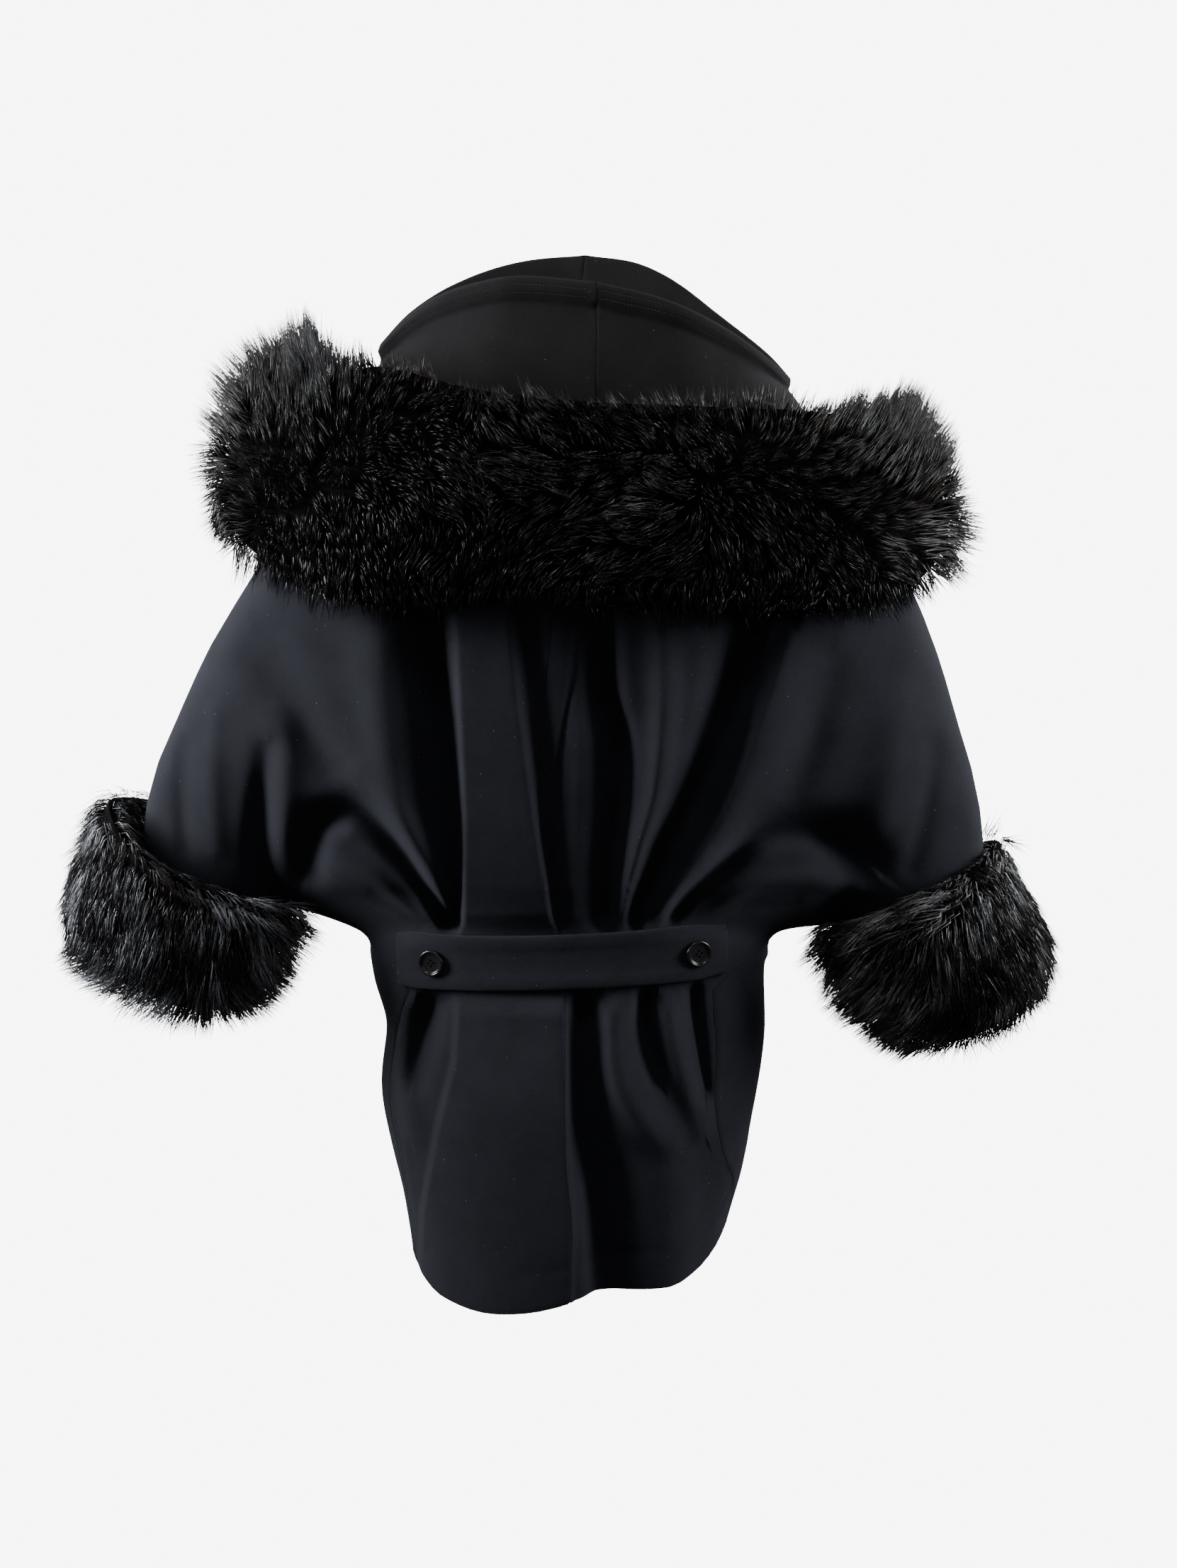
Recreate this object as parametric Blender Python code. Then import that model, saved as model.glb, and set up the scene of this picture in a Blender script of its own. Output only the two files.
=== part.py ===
"""Wool coat with a cowl, a fur collar, fur cuffs and a half belt, empty and filled out.
Metres, Z up. The back of the coat faces -Y, the wearer's right is +X.
The origin is where the coat is held: inside the neck, level with the shoulders."""
import math

import bmesh
import bpy
from mathutils import Matrix, Vector

for item in list(bpy.data.objects):
    bpy.data.objects.remove(item, do_unlink=True)

MM = 0.001
WALL = 3.0
SEAM_GAP = 0.3
OPENING_HALF_DEPTH = 56.0
BELT_HEIGHT = 58.0
BUTTON_DIAMETER = 28.0

# The rings of the coat from the neck down to the hem, in millimetres. Each ring runs from the centre
# back seam round both sides to the centre front. "seam" is where the back ends and the front starts,
# in degrees short of the side. "point" is 0 for a rounded side and 1 for one drawn to a point.
# "steps" is how many strips of cloth lie between this ring and the next.
RING_COLUMNS = ("cb_x", "left_x", "left_z", "right_x", "right_z", "back_z", "front_z",
                "back_depth", "front_depth", "left_seam", "right_seam", "point", "steps")
RINGS = (
    (-5, -120, 60, 130, 55, 30, -30, 80, 90, 0, 0, 0.0, 1),
    (-6, -200, 35, 214, 30, -15, -60, 106, 108, 0, 0, 0.0, 2),
    (-8, -265, -20, 295, -38, -70, -95, 120, 120, 0, 0, 0.0, 2),
    (-12, -317, -109, 348, -125, -132, -140, 127, 124, 0, 0, 0.0, 2),
    (-20, -372, -197, 382, -205, -202, -205, 132, 126, 0, 0, 0.0, 3),
    (-27, -411, -279, 407, -285, -280, -280, 135, 126, 0, 0, 0.0, 2),
    (-30, -440, -345, 428, -352, -345, -345, 134, 124, 0, 0, 0.0, 4),
    (-24, -449, -419, 435, -418, -430, -430, 124, 116, 0, 0, 1.0, 0),
)
# The rings of the body below the sleeve ends; the first one meets the inner end of both openings.
BODY_RINGS = (
    (-24, -301, -470, 291, -491, -430, -430, 124, 116, 0, 0, 1.0, 2),
    (-14, -218, -499, 218, -499, -466, -466, 112, 108, 0, 0, 0.5, 1),
    (-9, -213, -508, 212, -509, -479, -479, 108, 106, 8, 8, 0.1, 2),
    (-6, -212, -526, 210, -523, -510, -510, 105, 106, 26, 28, 0.0, 1),
    (-4, -208, -552, 207, -548, -541, -541, 106, 107, 38, 44, 0.0, 1),
    (-4, -200, -574, 208, -572, -568, -568, 109, 109, 30, 44, 0.0, 1),
    (-4, -193, -597, 209, -600, -600, -600, 115, 112, 22, 43, 0.0, 2),
    (-4, -202, -660, 203, -655, -660, -658, 126, 120, 21, 42, 0.0, 2),
    (-2, -192, -720, 192, -715, -722, -720, 130, 124, 21, 34, 0.0, 3),
    (3, -178, -790, 181, -795, -792, -792, 131, 125, 17, 18, 0.0, 2),
    (1, -168, -874, 171, -874, -874, -874, 130, 124, 15, 15, 0.0, 0),
)
SLEEVE_END = len(RINGS) - 1
HEM = len(BODY_RINGS) - 1
# The hem isn't level: how far it lies above its ring along the back and the front, from left to right.
HEM_COLUMNS = ("x", "back_lift", "front_lift")
HEM_CURVE = (
    (-168, 30, 30),
    (-134, 5, 6),
    (-86, -3, 0),
    (-46, 1, 0),
    (20, 17, 4),
    (60, 21, 8),
    (104, 21, 14),
    (133, 31, 28),
    (152, 46, 44),
    (171, 75, 75),
)
HEM_SWAY_FROM = 8.0
# Columns of cloth from the centre back (or front) to above the inner end of an opening, and on to
# the outer edge of the sleeve, with the angle that divides them.
ARM_ANGLE = 42.0
BACK_BODY_COLUMNS = 14
BACK_SLEEVE_COLUMNS = 8
FRONT_BODY_COLUMNS = 10
FRONT_SLEEVE_COLUMNS = 4

# Soft folds of the back, in millimetres: how far each stands out (+) or in (-), half its width,
# and its run as points (x, z). Ridges and hollows run together at the belt.
FOLD_COLUMNS = ("height", "half_width", "run")
BACK_FOLDS = {
    "hollow left of band": (-26, 18, ((-132, -150), (-131, -250), (-129, -398), (-118, -472))),
    "ridge left of band": (12, 24, ((-190, -150), (-182, -260), (-166, -350), (-140, -460))),
    "hollow to left underarm": (-18, 17, ((-250, -338), (-205, -375), (-165, -410), (-132, -468))),
    "soft hollow of left sleeve": (-10, 26, ((-306, -200), (-262, -270), (-225, -325))),
    "hollow by left cuff": (-11, 17, ((-318, -320), (-331, -370), (-336, -425))),
    "ridge of left sleeve": (8, 24, ((-278, -250), (-282, -340), (-285, -430))),
    "hollow of centre": (-30, 17, ((30, -150), (46, -240), (50, -320), (44, -400), (33, -472))),
    "layer of centre": (-6, 16, ((-4, -160), (4, -250), (8, -340), (0, -470))),
    "right ridge": (13, 19, ((84, -150), (92, -262), (88, -350), (62, -470))),
    "hollow right of ridge": (-20, 20, ((188, -160), (150, -260), (112, -370), (76, -470))),
    "second right ridge": (12, 20, ((262, -235), (205, -300), (150, -390), (100, -472))),
    "hollow to right underarm": (-18, 17, ((283, -400), (208, -366), (165, -400), (122, -466))),
    "ridge of right sleeve": (8, 26, ((330, -260), (322, -340), (300, -420))),
    "hollow beside skirt band": (-22, 15, ((16, -552), (16, -660), (20, -760), (20, -850))),
    "skirt ridge": (12, 17, ((52, -550), (66, -610), (92, -672))),
    "teardrop hollow": (-18, 13, ((84, -548), (92, -600), (112, -668))),
    "second skirt ridge": (9, 12, ((106, -548), (126, -600), (142, -660))),
    "left skirt hollow": (-15, 17, ((-148, -552), (-152, -600), (-160, -650))),
}
FRONT_FOLDS = {
    "left chest hollow": (-15, 20, ((-190, -200), (-150, -330), (-110, -470))),
    "right chest hollow": (-15, 20, ((185, -200), (150, -330), (112, -470))),
    "left sleeve hollow": (-10, 24, ((-300, -230), (-290, -330), (-300, -420))),
    "right sleeve hollow": (-10, 24, ((305, -240), (290, -340), (292, -430))),
    "left underarm hollow": (-14, 17, ((-255, -350), (-190, -400), (-135, -470))),
    "right underarm hollow": (-14, 17, ((255, -370), (190, -410), (132, -470))),
    "left skirt hollow": (-13, 18, ((-120, -552), (-126, -640), (-128, -760))),
    "right skirt hollow": (-13, 18, ((118, -552), (128, -640), (130, -760))),
}

# Folds and band come up between these heights, below the fur collar.
FOLDS_FROM = (-154.0, -188.0)

# The centre band of the back is a flat raised pleat: its height and the x of both edges going down.
BAND_RISE = 9.0
BAND_COLUMNS = ("z", "left_edge", "right_edge", "soft_left", "soft_right")
BAND = (
    (-120, -116, -60, 9, 10),
    (-244, -110, -48, 8, 9),
    (-360, -106, -32, 8, 8),
    (-474, -110, -14, 8, 8),
    (-550, -115, -3, 10, 6),
    (-616, -119, -2, 12, 6),
    (-688, -137, 0, 14, 6),
    (-779, -154, 5, 14, 6),
    (-880, -160, 3, 14, 6),
)

# The belt runs between these ends; the folds die away behind it.
BELT_LEFT = (-174.0, -516.5)
BELT_RIGHT = (160.0, -504.0)

# The cowl at angles from the centre back round to the centre front: its rim, the foot of its fall
# and the size of its rolled edge, in millimetres.
COWL_COLUMNS = ("angle", "rim", "foot", "roll")
COWL_LEFT = (
    (0, (26, -112, 172), (24, -134, 8), 1.0),
    (35, (-48, -104, 178), (-72, -126, 22), 1.0),
    (65, (-128, -66, 160), (-150, -88, 44), 1.0),
    (95, (-188, -4, 110), (-212, -8, 46), 0.7),
    (125, (-158, 58, 148), (-182, 78, 34), 0.9),
    (155, (-80, 98, 190), (-96, 122, 18), 1.0),
    (169, (-28, 109, 202), (-36, 130, 9), 1.0),
    (180, (16, 112, 205), (14, 132, 5), 1.0),
)
COWL_RIGHT = (
    (0, (26, -112, 172), (24, -134, 8), 1.0),
    (25, (84, -112, 158), (94, -130, 10), 1.0),
    (50, (148, -92, 130), (172, -100, 12), 0.9),
    (70, (196, -56, 98), (222, -58, 14), 0.65),
    (90, (222, -4, 78), (248, -6, 16), 0.5),
    (120, (208, 56, 98), (232, 66, 14), 0.6),
    (150, (144, 98, 150), (160, 116, 12), 0.9),
    (160, (102, 106, 182), (114, 125, 9), 1.0),
    (170, (60, 110, 200), (66, 130, 7), 1.0),
    (180, (16, 112, 205), (14, 132, 5), 1.0),
)

# The fur collar at angles from the centre back: the rings it lies between, how thick it stands at its
# inner edge and its middle, and how far its inner edge is fluffed up round the fall of the cowl.
FUR_COLUMNS = ("angle", "inner_ring", "outer_ring", "inner_rise", "rise", "lift")
FUR_PUSH = 0.28
FUR_LEFT = (
    (0, 1.9, 3.15, 44, 52, 130),
    (35, 1.78, 3.42, 48, 62, 132),
    (60, 1.55, 3.15, 54, 76, 84),
    (90, 1.35, 2.95, 60, 88, 56),
    (135, 1.7, 3.05, 48, 64, 84),
    (180, 1.9, 3.05, 42, 48, 105),
)
FUR_RIGHT = (
    (0, 1.9, 3.15, 44, 52, 130),
    (22, 1.9, 3.45, 46, 56, 118),
    (45, 1.9, 3.50, 46, 62, 98),
    (90, 1.85, 3.08, 50, 76, 52),
    (135, 1.85, 3.10, 46, 60, 78),
    (180, 1.9, 3.05, 42, 48, 105),
)

# The fur cuffs at the outer corner, the back, the underarm and the front of the sleeve opening:
# how far the fur climbs beside the sleeve, how far it stands out and where, and how long it hangs.
CUFF_COLUMNS = ("climb", "reach", "belly", "length")
CUFF_LEFT = ((66, 72, 52, 150), (2, 66, 70, 152), (-14, 20, 46, 140), (4, 66, 66, 150))
CUFF_RIGHT = ((12, 30, 72, 176), (2, 58, 84, 182), (4, 36, 82, 172), (4, 58, 80, 178))
CUFF_LEAN_LEFT = 0.24
CUFF_LEAN_RIGHT = 0.22
CUFF_BORE = 50.0
# The climb is greatest this far round from the outer corner towards the front.
CUFF_CLIMB_TURN = math.radians(35.0)

coat = bpy.data.collections.new("wool coat")
bpy.context.scene.collection.children.link(coat)
cutters = bpy.data.collections.new("cutters")
bpy.context.scene.collection.children.link(cutters)


def smooth(edge0, edge1, value):
    t = min(1.0, max(0.0, (value - edge0) / (edge1 - edge0)))
    return t * t * (3.0 - 2.0 * t)


def hermite(keys, values, at):
    """Reads a smooth curve without overshoot through values given at keys."""
    last = len(keys) - 1
    if at <= keys[0]:
        return values[0]
    if at >= keys[last]:
        return values[last]
    i = max(k for k in range(last) if keys[k] <= at)
    slope = [(values[k + 1] - values[k]) / (keys[k + 1] - keys[k]) for k in range(last)]

    def tangent(k):
        if k == 0 or k == last:
            return slope[0] if k == 0 else slope[last - 1]
        if slope[k - 1] * slope[k] <= 0.0:
            return 0.0
        return 2.0 * slope[k - 1] * slope[k] / (slope[k - 1] + slope[k])

    span = keys[i + 1] - keys[i]
    t = (at - keys[i]) / span
    h00 = (1 + 2 * t) * (1 - t) ** 2
    h10 = t * (1 - t) ** 2
    h01 = t * t * (3 - 2 * t)
    h11 = t * t * (t - 1)
    return h00 * values[i] + h10 * span * tangent(i) + h01 * values[i + 1] + h11 * span * tangent(i + 1)


def table_at(table, columns, at, key=None):
    """Reads every column of a table at a row position, or at a value of its first column."""
    keys = [row[0] for row in table] if key else list(range(len(table)))
    found = {}
    for c, name in enumerate(columns):
        if isinstance(table[0][c], tuple):
            found[name] = Vector([hermite(keys, [row[c][k] for row in table], at) for k in range(3)])
        else:
            found[name] = hermite(keys, [row[c] for row in table], at)
    return found


def ellipse_point(ring, angle, side):
    """A place of a ring: the angle is 0 at the centre back, 90 at the side and 180 at the front."""
    name = "left" if side < 0 else "right"
    back = angle <= 90.0
    a = math.radians(angle if back else 180.0 - angle)
    width = abs(ring[name + "_x"] - ring["cb_x"])
    across = math.sin(a) + (a / (math.pi / 2) - math.sin(a)) * ring["point"]
    depth = ring["back_depth" if back else "front_depth"]
    middle_z = ring["back_z" if back else "front_z"]
    out = 1.0 - across * across
    y = depth * max(0.0, out) ** (0.5 + 0.5 * ring["point"])
    z = ring[name + "_z"] + (middle_z - ring[name + "_z"]) * out
    return Vector((ring["cb_x"] + side * width * across, -y if back else y, z))


def opening_point(f, side, back):
    """A place on the edge of a sleeve opening: f is 0 at its inner end and 1 at the outer corner."""
    name = "left" if side < 0 else "right"
    x = RING_COLUMNS.index(name + "_x")
    z = RING_COLUMNS.index(name + "_z")
    along = (1.0 - math.cos(math.pi * f)) / 2.0
    corner = RINGS[SLEEVE_END]
    under = BODY_RINGS[0]
    y = OPENING_HALF_DEPTH * math.sin(math.pi * f)
    return Vector((under[x] + (corner[x] - under[x]) * along, -y if back else y,
                   under[z] + (corner[z] - under[z]) * along))


def run_distance(x, z, run):
    """Distance from a point to a fold's run, and how far along the run the nearest place is."""
    best = (1e9, 0.0)
    for k in range(len(run) - 1):
        ax, az = run[k]
        bx, bz = run[k + 1]
        length2 = (bx - ax) ** 2 + (bz - az) ** 2
        s = min(1.0, max(0.0, ((x - ax) * (bx - ax) + (z - az) * (bz - az)) / length2))
        gap = math.hypot(x - ax - s * (bx - ax), z - az - s * (bz - az))
        if gap < best[0]:
            best = (gap, (k + s) / (len(run) - 1))
    return best


def belt_middle(x):
    """The height of the belt's middle line at x."""
    slope = (BELT_RIGHT[1] - BELT_LEFT[1]) / (BELT_RIGHT[0] - BELT_LEFT[0])
    return BELT_LEFT[1] + slope * (x - BELT_LEFT[0])


def relief(x, z, back):
    """How far the cloth stands out from its plain ring because of folds and the centre band."""
    folds = BACK_FOLDS if back else FRONT_FOLDS
    total = 0.0
    for height, half_width, run in folds.values():
        gap, along = run_distance(x, z, run)
        swell = 0.65 + 0.35 * math.sin(math.pi * along)
        total += height * swell * math.exp(-(gap / half_width) ** 2)
    if back:
        band = table_at(BAND[::-1], BAND_COLUMNS, z, key=True)
        inside = smooth(-1, 1, (x - band["left_edge"]) / band["soft_left"])
        inside *= smooth(1, -1, (x - band["right_edge"]) / band["soft_right"])
        total += BAND_RISE * inside
    total *= smooth(BELT_HEIGHT / 2 + 6, BELT_HEIGHT / 2 + 32, abs(z - belt_middle(x)))
    total *= smooth(FOLDS_FROM[0], FOLDS_FROM[1], z)
    return total


def sleeve_end_point(angle, side):
    """The lowest ring of the upper coat: the body's first ring, then the edge of the opening."""
    back = angle <= 90.0
    a = angle if back else 180.0 - angle
    if a <= ARM_ANGLE:
        first = dict(zip(RING_COLUMNS, BODY_RINGS[0]))
        turned = 90.0 * a / ARM_ANGLE
        return ellipse_point(first, turned if back else 180.0 - turned, side)
    return opening_point((a - ARM_ANGLE) / (90.0 - ARM_ANGLE), side, back)


def coat_point(part, t, angle, side, plain=False):
    """A point of the coat's outer face, on the upper rings (part 0) or the body rings (part 1)."""
    if part == 0:
        ring = table_at(RINGS, RING_COLUMNS, t)
        ring["point"] = 0.0
        point = ellipse_point(ring, angle, side)
        draw_in = max(0.0, (t - SLEEVE_END + 2.0) / 2.0) ** 2
        point = point.lerp(sleeve_end_point(angle, side), draw_in)
    else:
        point = ellipse_point(table_at(BODY_RINGS, RING_COLUMNS, t), angle, side)
        sway = table_at(HEM_CURVE, HEM_COLUMNS, point.x, key=True)
        low = max(0.0, t - HEM_SWAY_FROM) / (HEM - HEM_SWAY_FROM)
        point.z += sway["back_lift" if angle <= 90.0 else "front_lift"] * low ** 1.5
    if not plain:
        back = angle <= 90.0
        swell = relief(point.x, point.z, back) * smooth(0.0, 45.0, abs(point.y))
        point.y += -swell if back else swell
    return point


def coat_normal(part, t, angle, side, plain=True):
    """The outward direction of the coat at a place, the same from either side of a seam."""
    step = 0.6

    def near(a):
        if a < 0.0:
            return coat_point(part, t, -a, -side, plain)
        if a > 180.0:
            return coat_point(part, t, 360.0 - a, -side, plain)
        return coat_point(part, t, a, side, plain)

    across = near(angle + step) - near(angle - step)
    low = max(0.0, t - 0.03)
    high = min(float(SLEEVE_END if part == 0 else HEM), t + 0.03)
    down = coat_point(part, high, angle, side, plain) - coat_point(part, low, angle, side, plain)
    normal = down.cross(across * side).normalized()
    lean = 0.3 if part == 0 else -0.3
    outward = Vector((side * math.sin(math.radians(angle)), -math.cos(math.radians(angle)), lean))
    return normal if normal.dot(outward) > 0 else -normal


def finish(name, bm, colour, roughness, collection=coat):
    mesh = bpy.data.meshes.new(name)
    bmesh.ops.recalc_face_normals(bm, faces=bm.faces[:])
    bm.to_mesh(mesh)
    bm.free()
    obj = bpy.data.objects.new(name, mesh)
    collection.objects.link(obj)
    material = bpy.data.materials.new(name)
    material.use_nodes = True
    shader = material.node_tree.nodes["Principled BSDF"]
    shader.inputs["Base Color"].default_value = (*colour, 1.0)
    shader.inputs["Roughness"].default_value = roughness
    mesh.materials.append(material)
    return obj


def grid_normals(grid, flip, flat_ends):
    """Outward directions of a grid; those of its first and last rows may be kept in the seam's plane."""
    rows = len(grid)
    cols = len(grid[0])
    normals = []
    for i in range(rows):
        line = []
        for j in range(cols):
            down = grid[min(i + 1, rows - 1)][j] - grid[max(i - 1, 0)][j]
            across = grid[i][min(j + 1, cols - 1)] - grid[i][max(j - 1, 0)]
            normal = down.cross(across) * (-1.0 if flip else 1.0)
            if flat_ends and i in (0, rows - 1):
                normal.x = 0.0
            line.append(normal.normalized())
        normals.append(line)
    return normals


def sheet(name, grid, colour, normals, wall=WALL):
    """Makes a closed thin wall from rows of points on its outer face and its outward directions.
    A row may be shorter than the one before it: the cloth then ends where the row does."""
    bm = bmesh.new()
    outer = [[bm.verts.new(p * MM) for p in line] for line in grid]
    for up, low in zip(outer, outer[1:]):
        for j in range(min(len(up), len(low)) - 1):
            bm.faces.new((up[j], up[j + 1], low[j + 1], low[j]))
    bm.normal_update()
    facing = 1.0
    if outer[1][0].normal.dot(normals[1][0]) < 0:
        facing = -1.0
    border = [edge for edge in bm.edges if len(edge.link_faces) == 1]
    inner = {}
    for line, ways in zip(outer, normals):
        for vert, way in zip(line, ways):
            way = way if way else vert.normal * facing
            inner[vert] = bm.verts.new(vert.co - way * wall * MM)
    for face in list(bm.faces):
        bm.faces.new([inner[v] for v in reversed(face.verts)])
    for edge in border:
        a, b = edge.verts
        bm.faces.new((a, b, inner[b], inner[a]))
    return finish(name, bm, colour, 0.9)


def ring_body(name, loops, closed, colour):
    """Makes a closed body from cross sections that follow each other, capped when not a full ring."""
    bm = bmesh.new()
    made = [[bm.verts.new(p * MM) for p in loop] for loop in loops]
    count = len(loops[0])
    last = len(loops) if closed else len(loops) - 1
    for i in range(last):
        nxt = made[(i + 1) % len(loops)]
        for k in range(count):
            bm.faces.new((made[i][k], made[i][(k + 1) % count], nxt[(k + 1) % count], nxt[k]))
    if not closed:
        bm.faces.new(made[0])
        bm.faces.new(made[-1][::-1])
    return finish(name, bm, colour, 1.0)


def ring_steps(table):
    """The ring positions that cloth is drawn at, from the first ring of a table to its last."""
    places = []
    for k, row in enumerate(table[:-1]):
        steps = row[RING_COLUMNS.index("steps")]
        places += [k + s / steps for s in range(steps)]
    return places + [len(table) - 1]


def column_angles(back):
    """The angles of the columns of an upper ring, from the centre line out to the sleeve's edge."""
    body = BACK_BODY_COLUMNS if back else FRONT_BODY_COLUMNS
    sleeve = BACK_SLEEVE_COLUMNS if back else FRONT_SLEEVE_COLUMNS
    angles = [ARM_ANGLE * j / body for j in range(body + 1)]
    angles += [ARM_ANGLE + (90.0 - ARM_ANGLE) * j / sleeve for j in range(1, sleeve + 1)]
    return angles if back else [180.0 - a for a in angles]


def seam_way(part, t, angle, side):
    """The outward direction at a side seam, kept clear of the piece on the other side."""
    way = coat_normal(part, t, angle, side)
    if abs(angle - 90.0) < 4.0:
        way.y = 0.0
    return way.normalized()


def panel(name, side, back):
    """Cuts a back or a front from the coat: shoulder, sleeve and skirt in one piece."""
    key = "left_seam" if side < 0 else "right_seam"
    grid = []
    ways = []
    angles = column_angles(back)
    apart = Vector((0.0, -SEAM_GAP / 2 if back else SEAM_GAP / 2, 0.0))
    for t in ring_steps(RINGS):
        line = [coat_point(0, t, angle, side) for angle in angles]
        way = [None] * len(angles)
        line[-1] += apart
        if t < SLEEVE_END:
            way[-1] = seam_way(0, t, 90.0, side)
        else:
            line[BACK_BODY_COLUMNS if back else FRONT_BODY_COLUMNS] += apart
            way[-1] = ways[-1][-1]
        if back:
            way[0] = coat_normal(0, t, 0.0, side, False)
        grid.append(line)
        ways.append(way)
    body = BACK_BODY_COLUMNS if back else FRONT_BODY_COLUMNS
    below = ring_steps(BODY_RINGS)
    corner_way = seam_way(1, 0.3, 90.0, side)
    ways[-1][body] = Vector((0.35 * side, 0.0, -1.0)).normalized().lerp(corner_way, 0.3).normalized()
    for t in below[1:]:
        seam = 90.0 - table_at(BODY_RINGS, RING_COLUMNS, t)[key]
        reach = seam if back else 180.0 - seam
        line = []
        way = [None] * (body + 1)
        for j in range(body + 1):
            angle = reach * j / body
            angle = angle if back else 180.0 - angle
            point = coat_point(1, t, angle, side)
            if j == body:
                other = coat_point(1, t, angle + (-2.0 if back else 2.0), side)
                point += (other - point).normalized() * SEAM_GAP / 2
                way[j] = seam_way(1, t, angle, side)
            line.append(point)
        if back:
            way[0] = coat_normal(1, t, 0.0, side, False)
        grid.append(line)
        ways.append(way)
    if back:
        for line in grid:
            line[0].x += side * SEAM_GAP / 2
        return sheet(name, grid, NAVY, ways)
    # The fronts lap over each other at the centre, the wearer's right one on top.
    places = [(0, t) for t in ring_steps(RINGS)] + [(1, t) for t in below[1:]]
    for (part, t), line, way in zip(places, grid, ways):
        ring = table_at(RINGS if part == 0 else BODY_RINGS, RING_COLUMNS, t)
        far = abs(ring["right_x" if side < 0 else "left_x"] - ring["cb_x"])
        turn = math.degrees(math.asin(LAP / far))
        line.insert(0, coat_point(part, t, 180.0 - turn, -side))
        way.insert(0, coat_normal(part, t, 180.0 - turn, -side, False))
        way[1] = coat_normal(part, t, 180.0, side, False)
        if side < 0:
            for point in line:
                under = smooth(-2.3 * LAP, -1.2 * LAP, point.x - ring["cb_x"])
                point.y -= LAP_DROP * under if point.y > 0 else 0.0
    return sheet(name, grid, NAVY, ways)


NAVY = (0.012, 0.013, 0.020)
BLACK_FUR = (0.010, 0.010, 0.011)
BUTTON_BLACK = (0.012, 0.012, 0.014)
LAP = 34.0
LAP_DROP = WALL + 2.2

# The two backs meet down the centre back; the two fronts wrap round to the side back seams.
panel("back_left", -1, True)
panel("back_right", 1, True)
panel("front_left", -1, False)
panel("front_right", 1, False)

# The two halves of the cowl: up from the neck seam, over the rolled rim and down the fall.
COWL_ANGLES = [a for a in column_angles(True)[::2]] + column_angles(False)[::-1][1:]
for side, name, table in ((-1, "cowl_left", COWL_LEFT), (1, "cowl_right", COWL_RIGHT)):
    rows = []
    for k, angle in enumerate(COWL_ANGLES):
        here = table_at(table, COWL_COLUMNS, angle, key=True)
        rim = here["rim"]
        foot = here["foot"]
        roll = here["roll"]
        neck = coat_point(0, 0.0, angle, side, True)
        away = (neck - coat_point(0, 0.06, angle, side, True)).normalized()
        out = Vector((rim.x - 10.0, rim.y, 0.0)).normalized()
        up = Vector((0.0, 0.0, 1.0))
        start = neck + away * (0.5 + 3.0 * smooth(146.0, 172.0, angle))
        lift = neck + away * 8.0 + up * 12.0
        line = [start, neck + away * 7.0 + up * 3.0, lift]
        for f in (0.35, 0.65, 0.88):
            line.append(lift.lerp(rim, f) - out * 7.0 * math.sin(math.pi * f))
        line.append(rim)
        for reach, drop in ((8, 0), (15, 8), (15, 19), (9, 26), (13, 33)):
            line.append(rim + out * reach * roll - up * drop * roll)
        top = line[-1]
        for f in (0.35, 0.7, 1.0):
            line.append(top.lerp(foot, f) + out * 7.0 * math.sin(math.pi * min(f, 0.98)))
        if k in (0, len(COWL_ANGLES) - 1):
            for point in line:
                point.x += side * SEAM_GAP / 2
        rows.append(line)
    sheet(name, rows, NAVY, grid_normals(rows, side > 0, True))

# The fur collar lies on the shoulders as one thick band, open at the centre front.
FUR_STEPS = 28
FUR_SIDES = 13
FUR_UNDER_STEPS = 7
# How far over the cloth the collar lies at its two edges.
FUR_SEAT = 1.5
loops = []
for k in range(-FUR_STEPS, FUR_STEPS + 1):
    side = -1 if k < 0 else 1
    angle = min(abs(k) * 180.0 / FUR_STEPS, 178.4)
    here = table_at(FUR_LEFT if side < 0 else FUR_RIGHT, FUR_COLUMNS, angle, key=True)
    inner = here["inner_ring"]
    span = here["outer_ring"] - inner
    loop = []
    for s in range(FUR_UNDER_STEPS + 1):
        t = inner + span * s / FUR_UNDER_STEPS
        clear = FUR_SEAT + 3.5 * math.sin(math.pi * s / (FUR_UNDER_STEPS + 1))
        loop.append(coat_point(0, t, angle, side) + coat_normal(0, t, angle, side) * clear)
    for s in range(FUR_SIDES):
        beta = math.pi * (s + 0.6) / (FUR_SIDES + 0.2)
        w = 0.5 + 0.56 * math.cos(beta)
        t = inner + span * w
        rise = here["inner_rise"] + (here["rise"] - here["inner_rise"]) * smooth(0.0, 0.5, w)
        height = 1.6 + rise * math.sin(beta) ** 0.62
        normal = coat_normal(0, t, angle, side)
        fluff = Vector((normal.x, normal.y, 0.0)).normalized() * FUR_PUSH + Vector((0.0, 0.0, 1.0))
        fluff *= here["lift"] * max(0.0, 1.0 - max(w, 0.0)) ** 1.5
        loop.append(coat_point(0, t, angle, side) + normal * height + fluff)
    loops.append(loop)
ring_body("fur_collar", loops, False, BLACK_FUR)


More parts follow.
